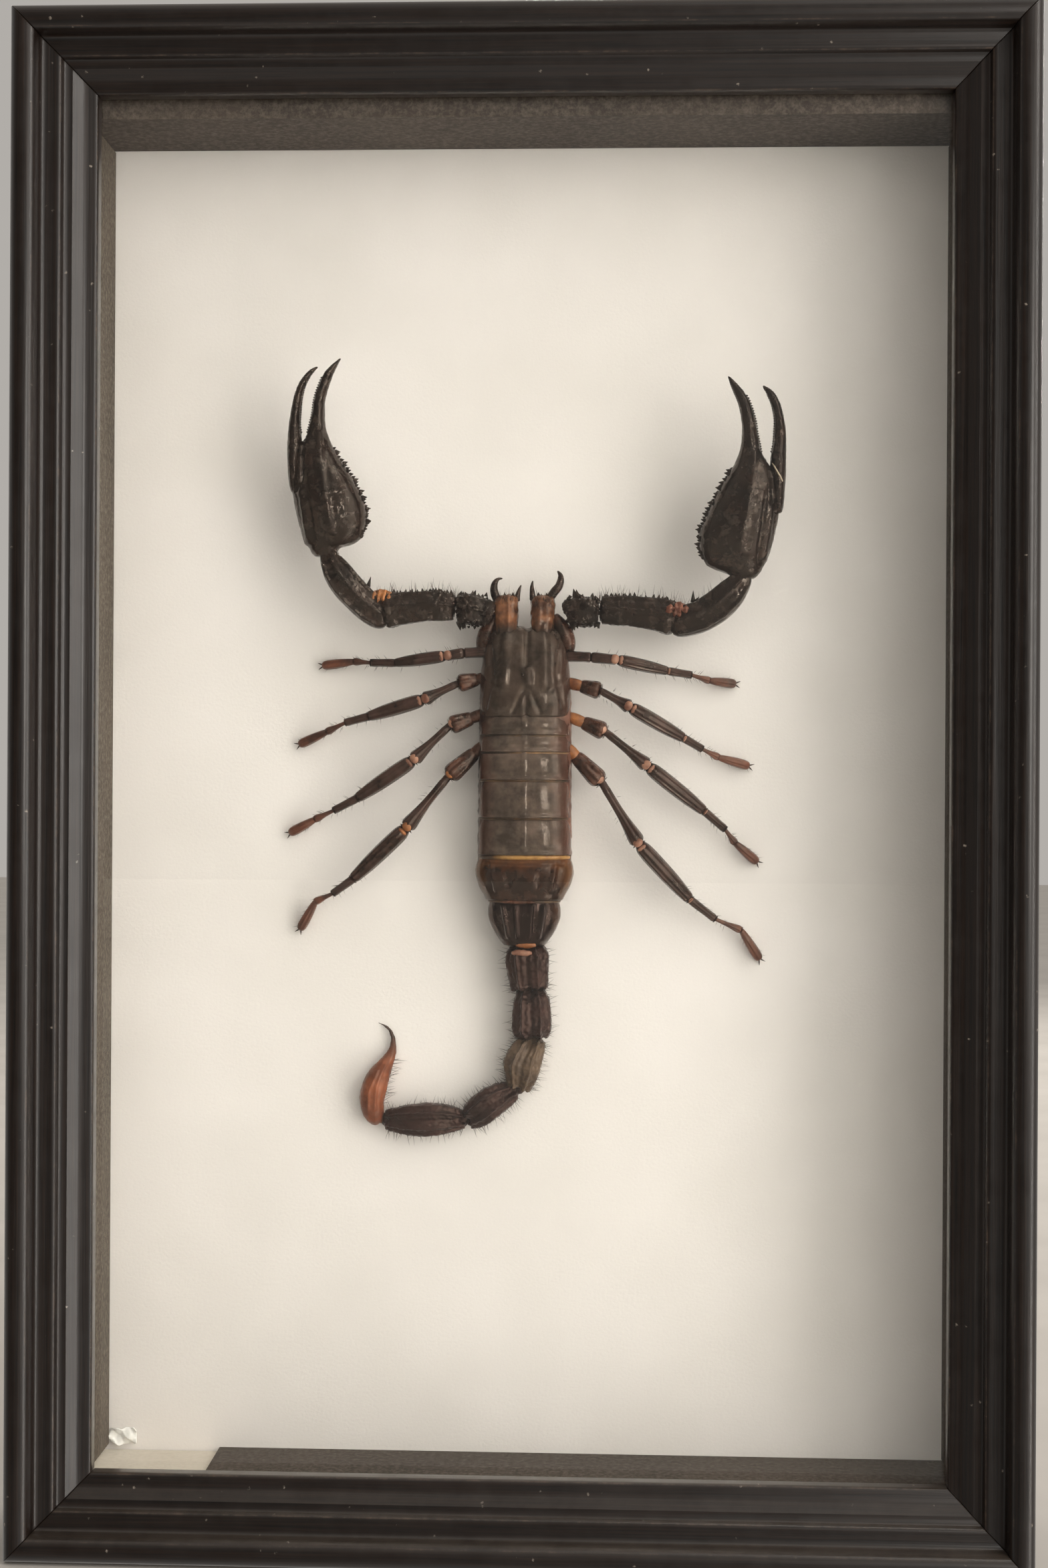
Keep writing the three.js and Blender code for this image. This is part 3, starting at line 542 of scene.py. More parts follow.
def loft(name, rows, finish, sides=24, box=1.0, levels=2, square=None):
    """A closed skin through rings laid on rows of x, z, lift, half width and half height.
    A box below 1 squares the rings up; square holds them all at right angles to one direction."""
    begin()
    bpy.ops.mesh.primitive_circle_add(vertices=sides)
    made = bpy.context.object
    made.name = name
    bpy.ops.object.mode_set(mode="EDIT")
    for _ in rows[1:]:
        bpy.ops.mesh.primitive_circle_add(vertices=sides)
    skin = bmesh.from_edit_mesh(made.data)
    skin.verts.ensure_lookup_table()
    centres = [spot(*row[:3]) for row in rows]
    for i, row in enumerate(rows):
        path = Vector(square) if square else centres[min(i + 1, len(rows) - 1)] - centres[max(i - 1, 0)]
        path.normalize()
        side = Vector((0, -1, 0)).cross(path).normalized()
        front = path.cross(side)
        for j in range(sides):
            c, s = math.cos(math.tau * j / sides), math.sin(math.tau * j / sides)
            skin.verts[i * sides + j].co = (centres[i] + side * math.copysign(abs(c) ** box, c) * row[3] * MM
                                            + front * math.copysign(abs(s) ** box, s) * row[4] * MM)
    bmesh.update_edit_mesh(made.data)
    bpy.ops.mesh.select_all(action="SELECT")
    bpy.ops.mesh.bridge_edge_loops()
    for ring in (0, len(rows) - 1):
        bpy.ops.mesh.select_all(action="DESELECT")
        skin = bmesh.from_edit_mesh(made.data)
        skin.verts.ensure_lookup_table()
        for corner in skin.verts[ring * sides : (ring + 1) * sides]:
            corner.select = True
        skin.select_flush(True)
        bpy.ops.mesh.edge_face_add()
    bpy.ops.mesh.select_all(action="SELECT")
    bpy.ops.mesh.normals_make_consistent(inside=False)
    bpy.ops.object.mode_set(mode="OBJECT")
    made.data.materials.append(finish)
    apply_modifier(made, "SUBSURF", levels=levels, render_levels=levels)
    bpy.ops.object.shade_smooth()
    return made


# %% Brush strokes and granules
def stroke(piece, path, radius, lift):
    """A brush stroke along x, z points: the skin under it that faces the viewer moves along its normals."""
    skin = piece.data.vertices
    places, normals = np.empty(len(skin) * 3), np.empty(len(skin) * 3)
    skin.foreach_get("co", places)
    skin.foreach_get("normal", normals)
    places, normals = places.reshape(-1, 3), normals.reshape(-1, 3)
    flat = places[:, (0, 2)] / MM
    gap = np.full(len(skin), 1e6)
    for a, b in zip(np.array(path, float), np.array(path[1:], float)):
        run = b - a
        share = np.clip((flat - a) @ run / max(run @ run, 1e-9), 0, 1)
        gap = np.minimum(gap, np.linalg.norm(flat - a - share[:, None] * run, axis=1))
    push = (0.5 + 0.5 * np.cos(np.pi * np.clip(gap / radius, 0, 1))) * (normals[:, 1] < 0.1) * lift * MM
    skin.foreach_set("co", (places + normals * push[:, None]).ravel())
    piece.data.update()


def granulate(piece, size, lift):
    """Granules of the given size in millimetres, raised by a Displace modifier."""
    pattern = bpy.data.textures.new("granules", "VORONOI")
    pattern.noise_scale = size * MM
    apply_modifier(piece, "DISPLACE", texture=pattern, texture_coords="LOCAL",
                   strength=-lift * MM, mid_level=0.4)


# %% Joining, spikes and copies
def gather(name, pieces):
    """Joins pieces into one object."""
    begin()
    for piece in pieces:
        piece.select_set(True)
    bpy.context.view_layer.objects.active = pieces[0]
    bpy.ops.object.join()
    made = bpy.context.object
    made.name = made.data.name = name
    return made


def spike(name, sides, widths, finish):
    """A tapering spike one metre long, to be copied at its real size."""
    begin()
    bpy.ops.mesh.primitive_circle_add(vertices=sides, radius=widths[0], fill_type="NGON")
    made = bpy.context.object
    made.name = name
    bpy.ops.object.mode_set(mode="EDIT")
    bpy.ops.mesh.select_all(action="SELECT")
    step = 1 / (len(widths) - 1)
    for k, (wide, slim) in enumerate(zip(widths, widths[1:])):
        bpy.ops.mesh.extrude_region_move(TRANSFORM_OT_translate={"value": (0, 0, step)})
        bpy.ops.transform.resize(value=(slim / wide, slim / wide, 1), center_override=(0, 0, (k + 1) * step))
    bpy.ops.mesh.select_all(action="SELECT")
    bpy.ops.mesh.normals_make_consistent(inside=False)
    bpy.ops.object.mode_set(mode="OBJECT")
    bpy.ops.object.shade_smooth()
    made.data.materials.append(finish)
    return made


def copy_at(master, matrix):
    """A copy with a mesh of its own, moved by a matrix."""
    made = master.copy()
    made.data = master.data.copy()
    made.data.transform(matrix)
    bpy.context.collection.objects.link(made)
    return made


def thorn(master, x, z, lift, direction, length, girth):
    """A spike on the shell: its foot, the way it points as x, z and lift, and its size."""
    dx, dz, out = direction
    turn = Vector((dx, -out, dz)).to_track_quat("Z", "X").to_matrix().to_4x4()
    size = Matrix.Diagonal((girth * MM, girth * MM, length * MM, 1))
    return copy_at(master, Matrix.Translation(spot(x, z, lift)) @ turn @ size)


tubercle = spike("tubercle", 7, (0.6, 0.55, 0.4, 0.22, 0.06), claw_shell)
bristle = spike("bristle", 3, (0.5, 0.4, 0.25, 0.08), hair)
print("masters:", tubercle.name, bristle.name)

# %% [markdown]
# ## Pincers
# Each pincer is a chain: a spiny trochanter, a boxy femur with a serrated front edge, a ridged patella and
# a claw with a fixed and a moving finger. The rows below follow the animal's outline on the card.
# The claw is measured from its wrist as outward, along, half width and half thickness.

# %% Rows of the pincers
PINCERS = {
    "left": {
        "side": -1, "wrist": (-40, 199.5, 10), "rise": 0.05,
        "palm": [(0.9, -0.9, 1.9, 2), (1, 0.1, 2.7, 2.6), (0.9, 1.1, 3.3, 2.9), (0.1, 1.7, 4.9, 3.3),
                 (-0.45, 2.8, 5.9, 3.7), (-0.65, 4.4, 6.5, 4.3), (-0.6, 6.4, 7.05, 4.6),
                 (-0.3, 8.8, 7.3, 4.8), (0.4, 11.7, 7.1, 4.7), (1.4, 14.8, 6.5, 4.4),
                 (2.4, 18.2, 5.3, 3.8), (2.9, 21.2, 3.9, 3.1)],
        "fixed": [(2.45, 23.6, 2.4, 2.3), (2.45, 25.4, 1.8, 2), (2.2, 28.2, 1.35, 1.8),
                  (1.95, 31, 1.2, 1.6), (1.2, 33.6, 1.15, 1.4), (-0.15, 36.8, 0.98, 1.1),
                  (-1.6, 38.6, 0.5, 0.6), (-2.3, 39.4, 0.2, 0.25)],
        "moving": [(7.3, 12.2, 0.5, 1), (7.15, 14, 1.1, 2.2), (7.1, 17.5, 1.45, 2.6),
                   (7.1, 21, 1.55, 2.3), (7.05, 23.8, 1.45, 1.9), (7.1, 26, 1.2, 1.7),
                   (6.75, 29.1, 1.03, 1.5), (6.3, 31.8, 0.88, 1.3), (5.3, 34.6, 0.72, 1),
                   (3.6, 36.8, 0.5, 0.7), (2.3, 37.7, 0.15, 0.25)],
        "trochanter": [(-6.6, 187.2, 7.2, 2.0), (-7.2, 187.4, 7.3, 2.6), (-8.9, 187.8, 7.4, 2.9),
                       (-11.2, 188.2, 7.6, 3.2), (-13.2, 188.5, 7.8, 2.8), (-14.0, 188.5, 7.8, 2.0)],
        "femur": [(-14.2, 188.5, 7.8, 1.8), (-15.0, 188.6, 7.8, 2.6), (-17.4, 188.7, 7.9, 2.9),
                  (-20, 188.8, 8, 3), (-25.5, 188.2, 8.2, 3.3), (-28.2, 187.7, 8.3, 3.5),
                  (-29.4, 187.4, 8.4, 2.7)],
        "patella": [(-28.4, 186.6, 8.4, 2.0), (-29.6, 186.8, 8.5, 2.8), (-31.8, 188.2, 8.6, 3),
                    (-34.2, 190.4, 9, 3.05), (-36.6, 193, 9.4, 3.1), (-38.6, 195.8, 9.8, 2.8),
                    (-39.7, 197.7, 10, 2.1), (-40, 199.7, 10, 1.9)],
        "elbow": (-29.3, 190.5, 10.1), "spur": (-32.1, 192.4, 9.6, (0.3, 1, 0.2)),
    },
    "right": {
        "side": 1, "wrist": (44.2, 195, 12), "rise": 0.1,
        "palm": [(0.3, -0.9, 2, 2), (0.1, 0.1, 3.2, 2.6), (-1.3, 1.4, 5.4, 3.1), (-1.55, 2.8, 6.4, 3.8),
                 (-1.55, 4.6, 7.1, 4.4), (-1.4, 6.8, 7.55, 4.7), (-1.05, 9, 7.65, 4.8),
                 (-0.1, 12, 7.3, 4.7), (0.55, 15, 6.6, 4.4), (1.3, 18.4, 5.4, 3.8),
                 (1.6, 21.4, 3.9, 3.1)],
        "fixed": [(1.25, 24, 2.4, 2.3), (1.25, 26, 1.9, 2), (1.05, 28.4, 1.55, 1.8),
                  (0.85, 30.4, 1.47, 1.7), (0.4, 32.4, 1.35, 1.5), (-0.25, 34.4, 1.28, 1.3),
                  (-1.3, 36.4, 1.13, 1.1), (-2.6, 38.4, 0.6, 0.6), (-3.3, 39.4, 0.2, 0.25)],
        "moving": [(7.2, 12.2, 0.5, 1), (7, 14, 1.1, 2.2), (6.9, 17.5, 1.45, 2.6), (6.85, 21, 1.65, 2.3),
                   (6.85, 23.6, 1.6, 1.9), (7.1, 26, 1.35, 1.7), (7.12, 28.4, 1.25, 1.5),
                   (7, 30.4, 1.05, 1.4), (6.65, 32.4, 0.95, 1.2), (6, 34.4, 0.88, 1),
                   (4.9, 36.2, 0.7, 0.8), (3.6, 37.5, 0.2, 0.25)],
        "trochanter": [(8.3, 187.6, 7.2, 1.9), (8.9, 187.8, 7.3, 2.6), (10.4, 187.8, 7.4, 2.9),
                       (12.3, 187.7, 7.6, 3.2), (14.3, 187.9, 7.8, 2.8), (15.1, 187.9, 7.8, 2.0)],
        "femur": [(15.3, 187.9, 7.8, 1.8), (16.1, 187.9, 7.8, 2.6), (18.6, 187.9, 7.9, 2.9),
                  (21.3, 187.9, 8, 3), (27.3, 187.1, 8.2, 3.3), (29.8, 186.4, 8.5, 3.5),
                  (31, 186.1, 8.6, 2.7)],
        "patella": [(30.2, 185.2, 8.6, 2.0), (31.2, 185.3, 8.8, 2.8), (33.2, 185.8, 9, 3.1),
                    (36, 186.6, 9.6, 3.1), (39.2, 188.6, 10.4, 3.2), (42, 191.2, 11.2, 2.9),
                    (43.7, 193.3, 11.8, 2.2), (44.2, 195.2, 12, 1.9)],
        "elbow": (31.1, 187.9, 11.0), "spur": (34.3, 189.6, 9.8, (0.0, 1, 0.2)),
    },
}
print("pincers:", list(PINCERS))


# %% The claw
draw = random.Random(5)
UP = (0, 0, 1)
# Relief of the palm: the brush's radius, its lift and its path, outward and along from the wrist.
PALM_RELIEF = [
    (1.3, 0.4, [(-1.0, 4), (0.1, 10), (1.5, 18), (1.8, 24)]),
    (0.6, -0.4, [(2.8, 2.5), (3.6, 9), (4.4, 16)]),
    (0.9, 0.3, [(4.2, 3), (5.0, 9), (5.6, 14)]),
    (0.6, -0.8, [(6.6, 12.4), (5.1, 14.5), (5.2, 19), (5.0, 23)]),
]
# A pale seam that only the right claw shows: outward, along and height over the claw's middle.
SEAM = [(5.5, 22.2, 1.05), (6.0, 21.3, 1.85), (6.6, 20.2, 2.25), (7.2, 19, 2.4), (7.7, 18.2, 2.2)]


def in_claw(pincer, outward, along, lift=0.0):
    """A place in the claw's own measures as x, z and lift over the card."""
    x, z, height = pincer["wrist"]
    return x + pincer["side"] * outward, z + along, height + pincer["rise"] * along + lift


def claw_rows(pincer, rows):
    """The claw's own rows as rows for a loft."""
    return [(*in_claw(pincer, outward, along), wide, thick) for outward, along, wide, thick in rows]


def claw_edge(rows, along, way):
    """How far outward the inner edge, way -1, or the outer edge, way 1, lies at a place along the claw."""
    return np.interp(along, [row[1] for row in rows], [row[0] + way * row[2] for row in rows])


def claw(name, pincer):
    """Palm with its fixed finger, the moving finger, and their teeth."""
    side = pincer["side"]
    hand, moving = fair(pincer["palm"] + pincer["fixed"]), fair(pincer["moving"])
    palm = loft(name + "_palm", claw_rows(pincer, hand), claw_shell, sides=32, square=UP)
    finger = loft(name + "_finger", claw_rows(pincer, moving), claw_shell, sides=20)
    for radius, lift, path in PALM_RELIEF:
        stroke(palm, [in_claw(pincer, outward, along)[:2] for outward, along in path], radius, lift)
    granulate(palm, 0.95, 0.11)
    granulate(finger, 0.7, 0.12)
    pieces = [palm, finger]
    if side > 0:
        seam = [(*in_claw(pincer, outward, along, up), 0.2, 0.22) for outward, along, up in SEAM]
        pieces.append(loft(name + "_suture", seam, suture_skin, sides=8, levels=1))
    for along in np.arange(3.2, 21.4, 0.58):
        size = draw.choice((0.55, 0.65, 0.8, 1.1))
        foot = in_claw(pincer, claw_edge(hand, along, -1) + 0.15, along, draw.uniform(-0.8, 1.0))
        aim = (-side, draw.uniform(-0.1, 0.5), draw.uniform(-0.2, 0.3))
        pieces.append(thorn(tubercle, *foot, aim, size, 0.3 + 0.45 * size))
    for along in np.arange(24.5, 36, 0.5):
        foot = in_claw(pincer, claw_edge(hand, along, 1) - 0.12, along)
        pieces.append(thorn(tubercle, *foot, (side, 0.2, 0.1), 0.4, 0.5))
        foot = in_claw(pincer, claw_edge(moving, along, -1) + 0.12, along)
        pieces.append(thorn(tubercle, *foot, (-side, 0.2, 0.1), 0.36, 0.5))
    return pieces


# %% The arm
# Each piece of the arm: its granules' height, how square it is, and where its keels run, as shares of
# its half width from the inner edge at -1 to the outer edge at 1.
ARM_PIECES = {
    "trochanter": (0.45, 0.74, (-0.7, 0.0, 0.7)),
    "femur": (0.25, 0.74, (-0.85, 0.85, -0.1)),
    "patella": (0.08, 0.6, (-0.9, -0.15, 0.72)),
}


def arm(name, pincer):
    """Trochanter, femur and patella with keels, thorns, the elbow's membrane and the spur."""
    pieces = []
    side = pincer["side"]
    for part, (lump, box, keels) in ARM_PIECES.items():
        rows = pincer[part]
        tube = fair([(*row, row[3] * 0.95) for row in rows], 4)
        shape = loft(f"{name}_{part}", tube, claw_shell, sides=28, box=box)
        path = np.array([row[:2] for row in rows[1:-1]])
        slope = np.gradient(path, axis=0)
        outer = side * np.stack([slope[:, 1], -slope[:, 0]], axis=1) / np.linalg.norm(slope, axis=1)[:, None]
        halves = np.array([row[3] for row in rows[1:-1]])[:, None]
        for share in keels:
            stroke(shape, list(path + outer * share * halves), 0.5, 0.5)
        granulate(shape, 0.75, lump)
        pieces.append(shape)
    for x, z, lift, half in fair(pincer["femur"][1:-1], 5):
        for row in (0.96, 0.82):
            size = draw.uniform(0.6, 1.1)
            pieces.append(thorn(tubercle, x + draw.uniform(-0.2, 0.2), z + row * half, lift + (1 - row) * 9,
                                (draw.uniform(-0.3, 0.3), 1, draw.uniform(-0.1, 0.5)), size, size * 0.7))
    knob = np.array(pincer["trochanter"][1:])
    for _ in range(60):
        x, z, lift, half = (np.interp(draw.uniform(0, 4), range(5), column) for column in knob.T)
        turn, size = draw.uniform(-2.0, 2.0), draw.choice((0.5, 0.7, 0.9, 1.3, 1.9))
        out, up = math.cos(turn), math.sin(turn)
        pieces.append(thorn(tubercle, x, z + up * half * 0.92, lift + out * half * 0.88,
                            (draw.uniform(-0.6, 0.6), up, out), size, 0.4 + size * 0.35))
    x, z, lift = pincer["elbow"]
    sleeve = [(x - 2.5, z - 0.5, lift, 0.5, 0.6), (x - 1.6, z - 0.1, lift, 1.4, 1.4), (x, z, lift, 1.9, 1.8),
              (x + 1.6, z + 0.1, lift, 1.4, 1.4), (x + 2.5, z, lift, 0.5, 0.6)]
    skin = loft(name + "_elbow_skin", sleeve, joint_skin if side < 0 else red_skin, sides=20)
    for dx in (-1.3, -0.2, 1.0):
        stroke(skin, [(x + dx, z - 2), (x + dx + 0.5, z + 2)], 0.4, -0.9)
    granulate(skin, 1.0, 0.5)
    pieces.append(skin)
    x, z, lift, way = pincer["spur"]
    pieces.append(thorn(tubercle, x, z, lift, way, 2.4, 0.8))
    lean = (way[0] + 0.8 * side, way[1], way[2])
    pieces.append(thorn(tubercle, x + 0.5 * side, z + 0.2, lift, lean, 1.2, 0.6))
    for x, z, lift, half in fair(pincer["femur"] + pincer["patella"][2:-2], 3):
        for _ in range(3):
            foot = (x + draw.uniform(-0.6, 0.6), z + half * 0.8, lift + 1)
            aim = (draw.uniform(-0.4, 0.4), 1, draw.uniform(0, 0.6))
            pieces.append(thorn(bristle, *foot, aim, draw.uniform(1.6, 3.6), 0.13))
    return pieces


# %% Put both pincers together
for label, pincer in PINCERS.items():
    whole = gather(f"pincer_{label}_shell", claw("claw_" + label, pincer) + arm("arm_" + label, pincer))
    ride(whole, "shell", "scorpion_pincer_" + label)

# %% [markdown]
# ## Trunk
# The trunk is a head shield, seven back plates that overlap like roof tiles, and soft red-brown flanks.
# Each plate is a closed loft with a raised rear lip, and a thin margin, brown to amber, lies under that lip.
# The shield gets its furrow, its eye mound and its lobes from brush strokes.

# %% Rows of the trunk
# Rows are z, half width and the height of the top over the card. A plate has a front, a rear, a half width
# and a top.
BODY_X = 0.15
CARAPACE = [(184.9, 5.6, 6.9), (184.6, 6.7, 8.4), (183.2, 7.7, 10.2), (180, 8.5, 11.4), (175, 9.2, 12.4),
            (169.5, 9.3, 12.6), (166.6, 9.1, 12.3), (166.1, 8.8, 11.8)]
PLATES = [(166.2, 162.4, 9.3, 12.2), (162.4, 158.9, 9.4, 12.4), (158.9, 153.2, 9.4, 12.6),
          (153.2, 145.5, 9.4, 12.6), (145.5, 137.9, 9.6, 12.3)]
SIXTH = [(138.6, 8.6, 11.0), (137.6, 9.3, 11.7), (136.2, 9.9, 11.9), (134.3, 10.2, 11.9), (131.6, 9.5, 11.5),
         (129.5, 8.3, 10.9), (128.7, 7.9, 10.6), (128.6, 7.2, 9.8)]
SEVENTH = [(129.6, 6.8, 9.4), (128.4, 7.2, 10), (126.6, 7.5, 10.1), (124.6, 7.4, 9.9), (121.8, 6.1, 9.2),
           (119.8, 4.7, 8.3), (119.2, 4.2, 7.8), (119.4, 3.4, 6.6)]
BELLY = 0.4


def trunk_rows(rows):
    """Rows of z, half width and top as rows for a loft down the middle of the body."""
    return [(BODY_X, z, (top + BELLY) / 2, half, (top - BELLY) / 2) for z, half, top in rows]


def on_side(side, path):
    """A path of x and z, measured out from the body's middle line, taken to one side."""
    return [(BODY_X + side * x, z) for x, z in path]


print("plates with a lip:", len(PLATES), "head shield rows:", len(CARAPACE))


# %% Head shield
DOWN = (0, 0, -1)
LOBES = [
    ([(3.8, 183.5), (4.2, 172.5)], 1.6, 0.5),
    ([(7.3, 182), (6.6, 175), (8, 168)], 0.9, -0.35),
    ([(5.2, 171.5), (8.6, 173.5)], 0.7, -0.3),
]
shield = loft("head_shield", fair(trunk_rows(CARAPACE)), plate_shell, sides=48, box=0.8, square=DOWN)
stroke(shield, [(0.6, 185), (0.6, 176.4)], 1.0, -0.7)
stroke(shield, [(0.6, 172.4), (0.6, 166)], 0.8, -0.5)
stroke(shield, [(0.9, 175.4), (0.9, 173.2)], 1.3, 0.8)
stroke(shield, [(1.2, 171.6), (3.4, 167)], 0.7, -0.5)
stroke(shield, [(0.0, 171.6), (-2.2, 167)], 0.7, -0.5)
for side in (-1, 1):
    for path, radius, lift in LOBES:
        stroke(shield, on_side(side, path), radius, lift)
granulate(shield, 1.4, 0.07)
trunk = [shield]
print("shield corners:", len(shield.data.vertices))

# %% Flanks
core = [(184, 6.2, 8), (180, 8.4, 10.6), (170, 9.4, 11.6), (160, 9.6, 11.6), (150, 9.6, 11.8),
        (140, 9.7, 11.4), (133, 9.3, 10.8), (128.5, 7.0, 9.2), (122, 5.2, 8), (119, 3.2, 6.4)]
flank = loft("flank", fair(trunk_rows(core), 5), flank_skin, sides=40, box=0.8, levels=1, square=DOWN)
granulate(flank, 1.4, 0.5)
trunk.append(flank)
print("flank corners:", len(flank.data.vertices))

# %% Five back plates and their margins
for k, (front, rear, half, top) in enumerate(PLATES):
    tile = [(front + 0.9, half - 0.8, top - 1.0), (front + 0.3, half - 0.45, top - 0.6),
            (front - 0.4, half - 0.25, top - 0.3)]
    tile += [(front + (rear - front) * t, half, top) for t in (0.35, 0.6, 0.85)]
    tile += [(rear + 0.35, half + 0.1, top + 0.12), (rear + 0.05, half + 0.05, top + 0.05),
             (rear + 0.1, half - 0.5, top - 0.5)]
    plate = loft(f"back_plate_{k + 1}", trunk_rows(tile), tergite_shell, sides=48, box=0.8, square=DOWN)
    stroke(plate, [(BODY_X - 7, rear + 1.0), (BODY_X + 7, rear + 1.0)], 0.6, -0.18)
    stroke(plate, [(BODY_X, front), (BODY_X, rear + 1)], 0.8, 0.22)
    granulate(plate, 1.5, 0.06)
    trunk.append(plate)
    wide = 0.45 if k == 4 else 0
    lip = [(rear + 0.3, half - 0.3, top - 0.3), (rear, half - 0.1, top - 0.1),
           (rear - 0.3 - wide, half - 0.1, top - 0.1), (rear - 0.45 - wide, half - 0.5, top - 0.5)]
    finish = {1: tan_edge, 4: plate_edge}.get(k, dull_edge)
    trunk.append(loft(f"plate_margin_{k + 1}", trunk_rows(lip), finish, sides=48, box=0.8, levels=1,
                      square=DOWN))
print("trunk pieces so far:", len(trunk))

# %% Last two plates and hips
sixth = loft("back_plate_6", fair(trunk_rows(SIXTH), 2), rear_shell, sides=48, box=0.84, square=DOWN)
for side in (-1, 1):
    stroke(sixth, on_side(side, [(3.4, 133.6), (3.0, 132.2)]), 1.3, -0.5)
    stroke(sixth, on_side(side, [(6.6, 136), (5.6, 131)]), 0.8, 0.35)
stroke(sixth, [(BODY_X - 8, 136.3), (BODY_X + 8, 136.3)], 0.7, -0.3)
granulate(sixth, 1.3, 0.11)
seventh = loft("back_plate_7", fair(trunk_rows(SEVENTH), 2), last_shell, sides=48, box=0.84, square=DOWN)
for reach in (1.7, 4.2):
    for side in (-1, 1):
        stroke(seventh, on_side(side, [(reach, 127.4), (reach * 0.75, 121.4)]), 0.7, 0.5)
granulate(seventh, 1.2, 0.11)
rim = [(129.0, 7.2, 9.9), (128.6, 7.6, 10.3), (128.2, 7.5, 10.2), (127.9, 6.8, 9.4)]
trunk += [sixth, seventh, loft("plate_margin_6", trunk_rows(rim), dull_edge, sides=48, box=0.84, levels=1,
                               square=DOWN)]
band = [(-4.4, 0.15, 0.2), (-3.6, 0.38, 0.35), (-1, 0.45, 0.4), (1.6, 0.38, 0.35), (2.6, 0.15, 0.2)]
band_rows = [(x, 128.4, 10.15, half, tall) for x, half, tall in band]
trunk.append(loft("rear_band", band_rows, hip_shell, sides=12, levels=1))
coxa = [(5.7, 187.2, 6.6, 0.9), (7.0, 185.3, 6.6, 1.5), (8.2, 183, 6.4, 1.8), (8.7, 180.8, 6, 1.6),
        (8.8, 179, 5.5, 0.8)]
for side in (-1, 1):
    rows = [(BODY_X + side * x, z, lift, half, half * 1.1) for x, z, lift, half in coxa]
    trunk.append(loft("coxa", fair(rows), hip_shell, sides=16, levels=1))
print("trunk pieces:", len(trunk))

# %% [markdown]
# ## Jaws and eyes
# In front of the shield stand two stout jaws, red-brown, each with a black hooked fang on its outer side and
# a shorter tooth on its inner side. The gap between them shows the card.

# %% Jaws and eyes
# Rows of fangs and teeth are x, z and half width. An eye is its distance from the middle line, its z,
# its height over the card and its radius.
JAWS = {
    -1: {"middle": -3.75,
         "fang": [(-5.3, 189.6, 0.9), (-6.0, 190.9, 0.95), (-6.4, 192.3, 0.85), (-6.2, 193.7, 0.65),
                  (-5.5, 194.5, 0.35), (-4.6, 194.6, 0.12)],
         "tooth": [(-1.7, 189.9, 0.7), (-1.5, 191.2, 0.55), (-1.2, 192.3, 0.35), (-0.8, 193.3, 0.12)]},
    1: {"middle": 3.6,
        "fang": [(5.0, 190.4, 0.9), (6.0, 191.9, 0.95), (6.9, 193.0, 0.9), (7.3, 194.3, 0.75),
                 (7.2, 195.4, 0.5), (6.6, 196.2, 0.15)],
        "tooth": [(1.6, 190, 0.7), (1.5, 191.6, 0.6), (1.4, 193, 0.4), (1.6, 194.2, 0.12)]},
}
EYES = [(0.5, 174.6, 12.7, 0.42), (6.1, 183.0, 9.4, 0.3), (6.5, 182.2, 9.3, 0.26)]
for side, jaw in JAWS.items():
    x = jaw["middle"]
    rows = [(x, 181.5, 7.0, 1.9, 2.2), (x, 184, 7.6, 2.3, 2.8), (x + side * 0.05, 186.6, 7.4, 2.5, 2.7),
            (x + side * 0.1, 189.2, 7.1, 2.6, 2.4), (x + side * 0.1, 190.6, 6.9, 2.45, 2.0),
            (x + side * 0.2, 191.2, 6.7, 1.7, 1.3)]
    stub = loft("jaw", fair(rows, 2), jaw_shell, sides=24, box=0.82, square=UP)
    stroke(stub, [(x - side * 0.6, 185), (x - side * 0.4, 191)], 0.7, 0.25)
    granulate(stub, 1.1, 0.3)
    trunk.append(stub)
    for part in ("fang", "tooth"):
        path = [(x_at, z, 7.2, half, half) for x_at, z, half in jaw[part]]
        trunk.append(loft(part, fair(path), fang_shell, sides=12, levels=1))
    for dx, z in ((2.6, 190.9), (3.2, 190.6), (4.3, 190.8)):
        trunk.append(thorn(tubercle, BODY_X + side * dx, z, 7.4, (0, 1, 0.2), 0.9, 0.7))
    for _ in range(16):
        foot = (x + draw.uniform(-2, 2), draw.uniform(189, 191), 9.2)
        aim = (draw.uniform(-0.4, 0.4), 1, draw.uniform(0.1, 0.6))
        trunk.append(thorn(bristle, *foot, aim, draw.uniform(1.2, 2.6), 0.11))
    for dx, z, lift, half in EYES:
        # The pair on the mound stands a little right of the middle line, as the mound does.
        at = BODY_X + side * dx + (0.2 if dx < 1 else 0)
        eye = [(at, z - half, lift, half * 0.3, half * 0.3), (at, z, lift, half, half),
               (at, z + half, lift, half * 0.3, half * 0.3)]
        trunk.append(loft("eye", eye, fang_shell, sides=12, levels=1))
ride(gather("trunk_shell", trunk), "shell", "scorpion_body")

# %% [markdown]
# ## Tail
# Five ringed segments and the sting. Each segment is boxy, with keels along it and a flared rear end, and
# the third is paler than the rest. Bristles stand along both sides.

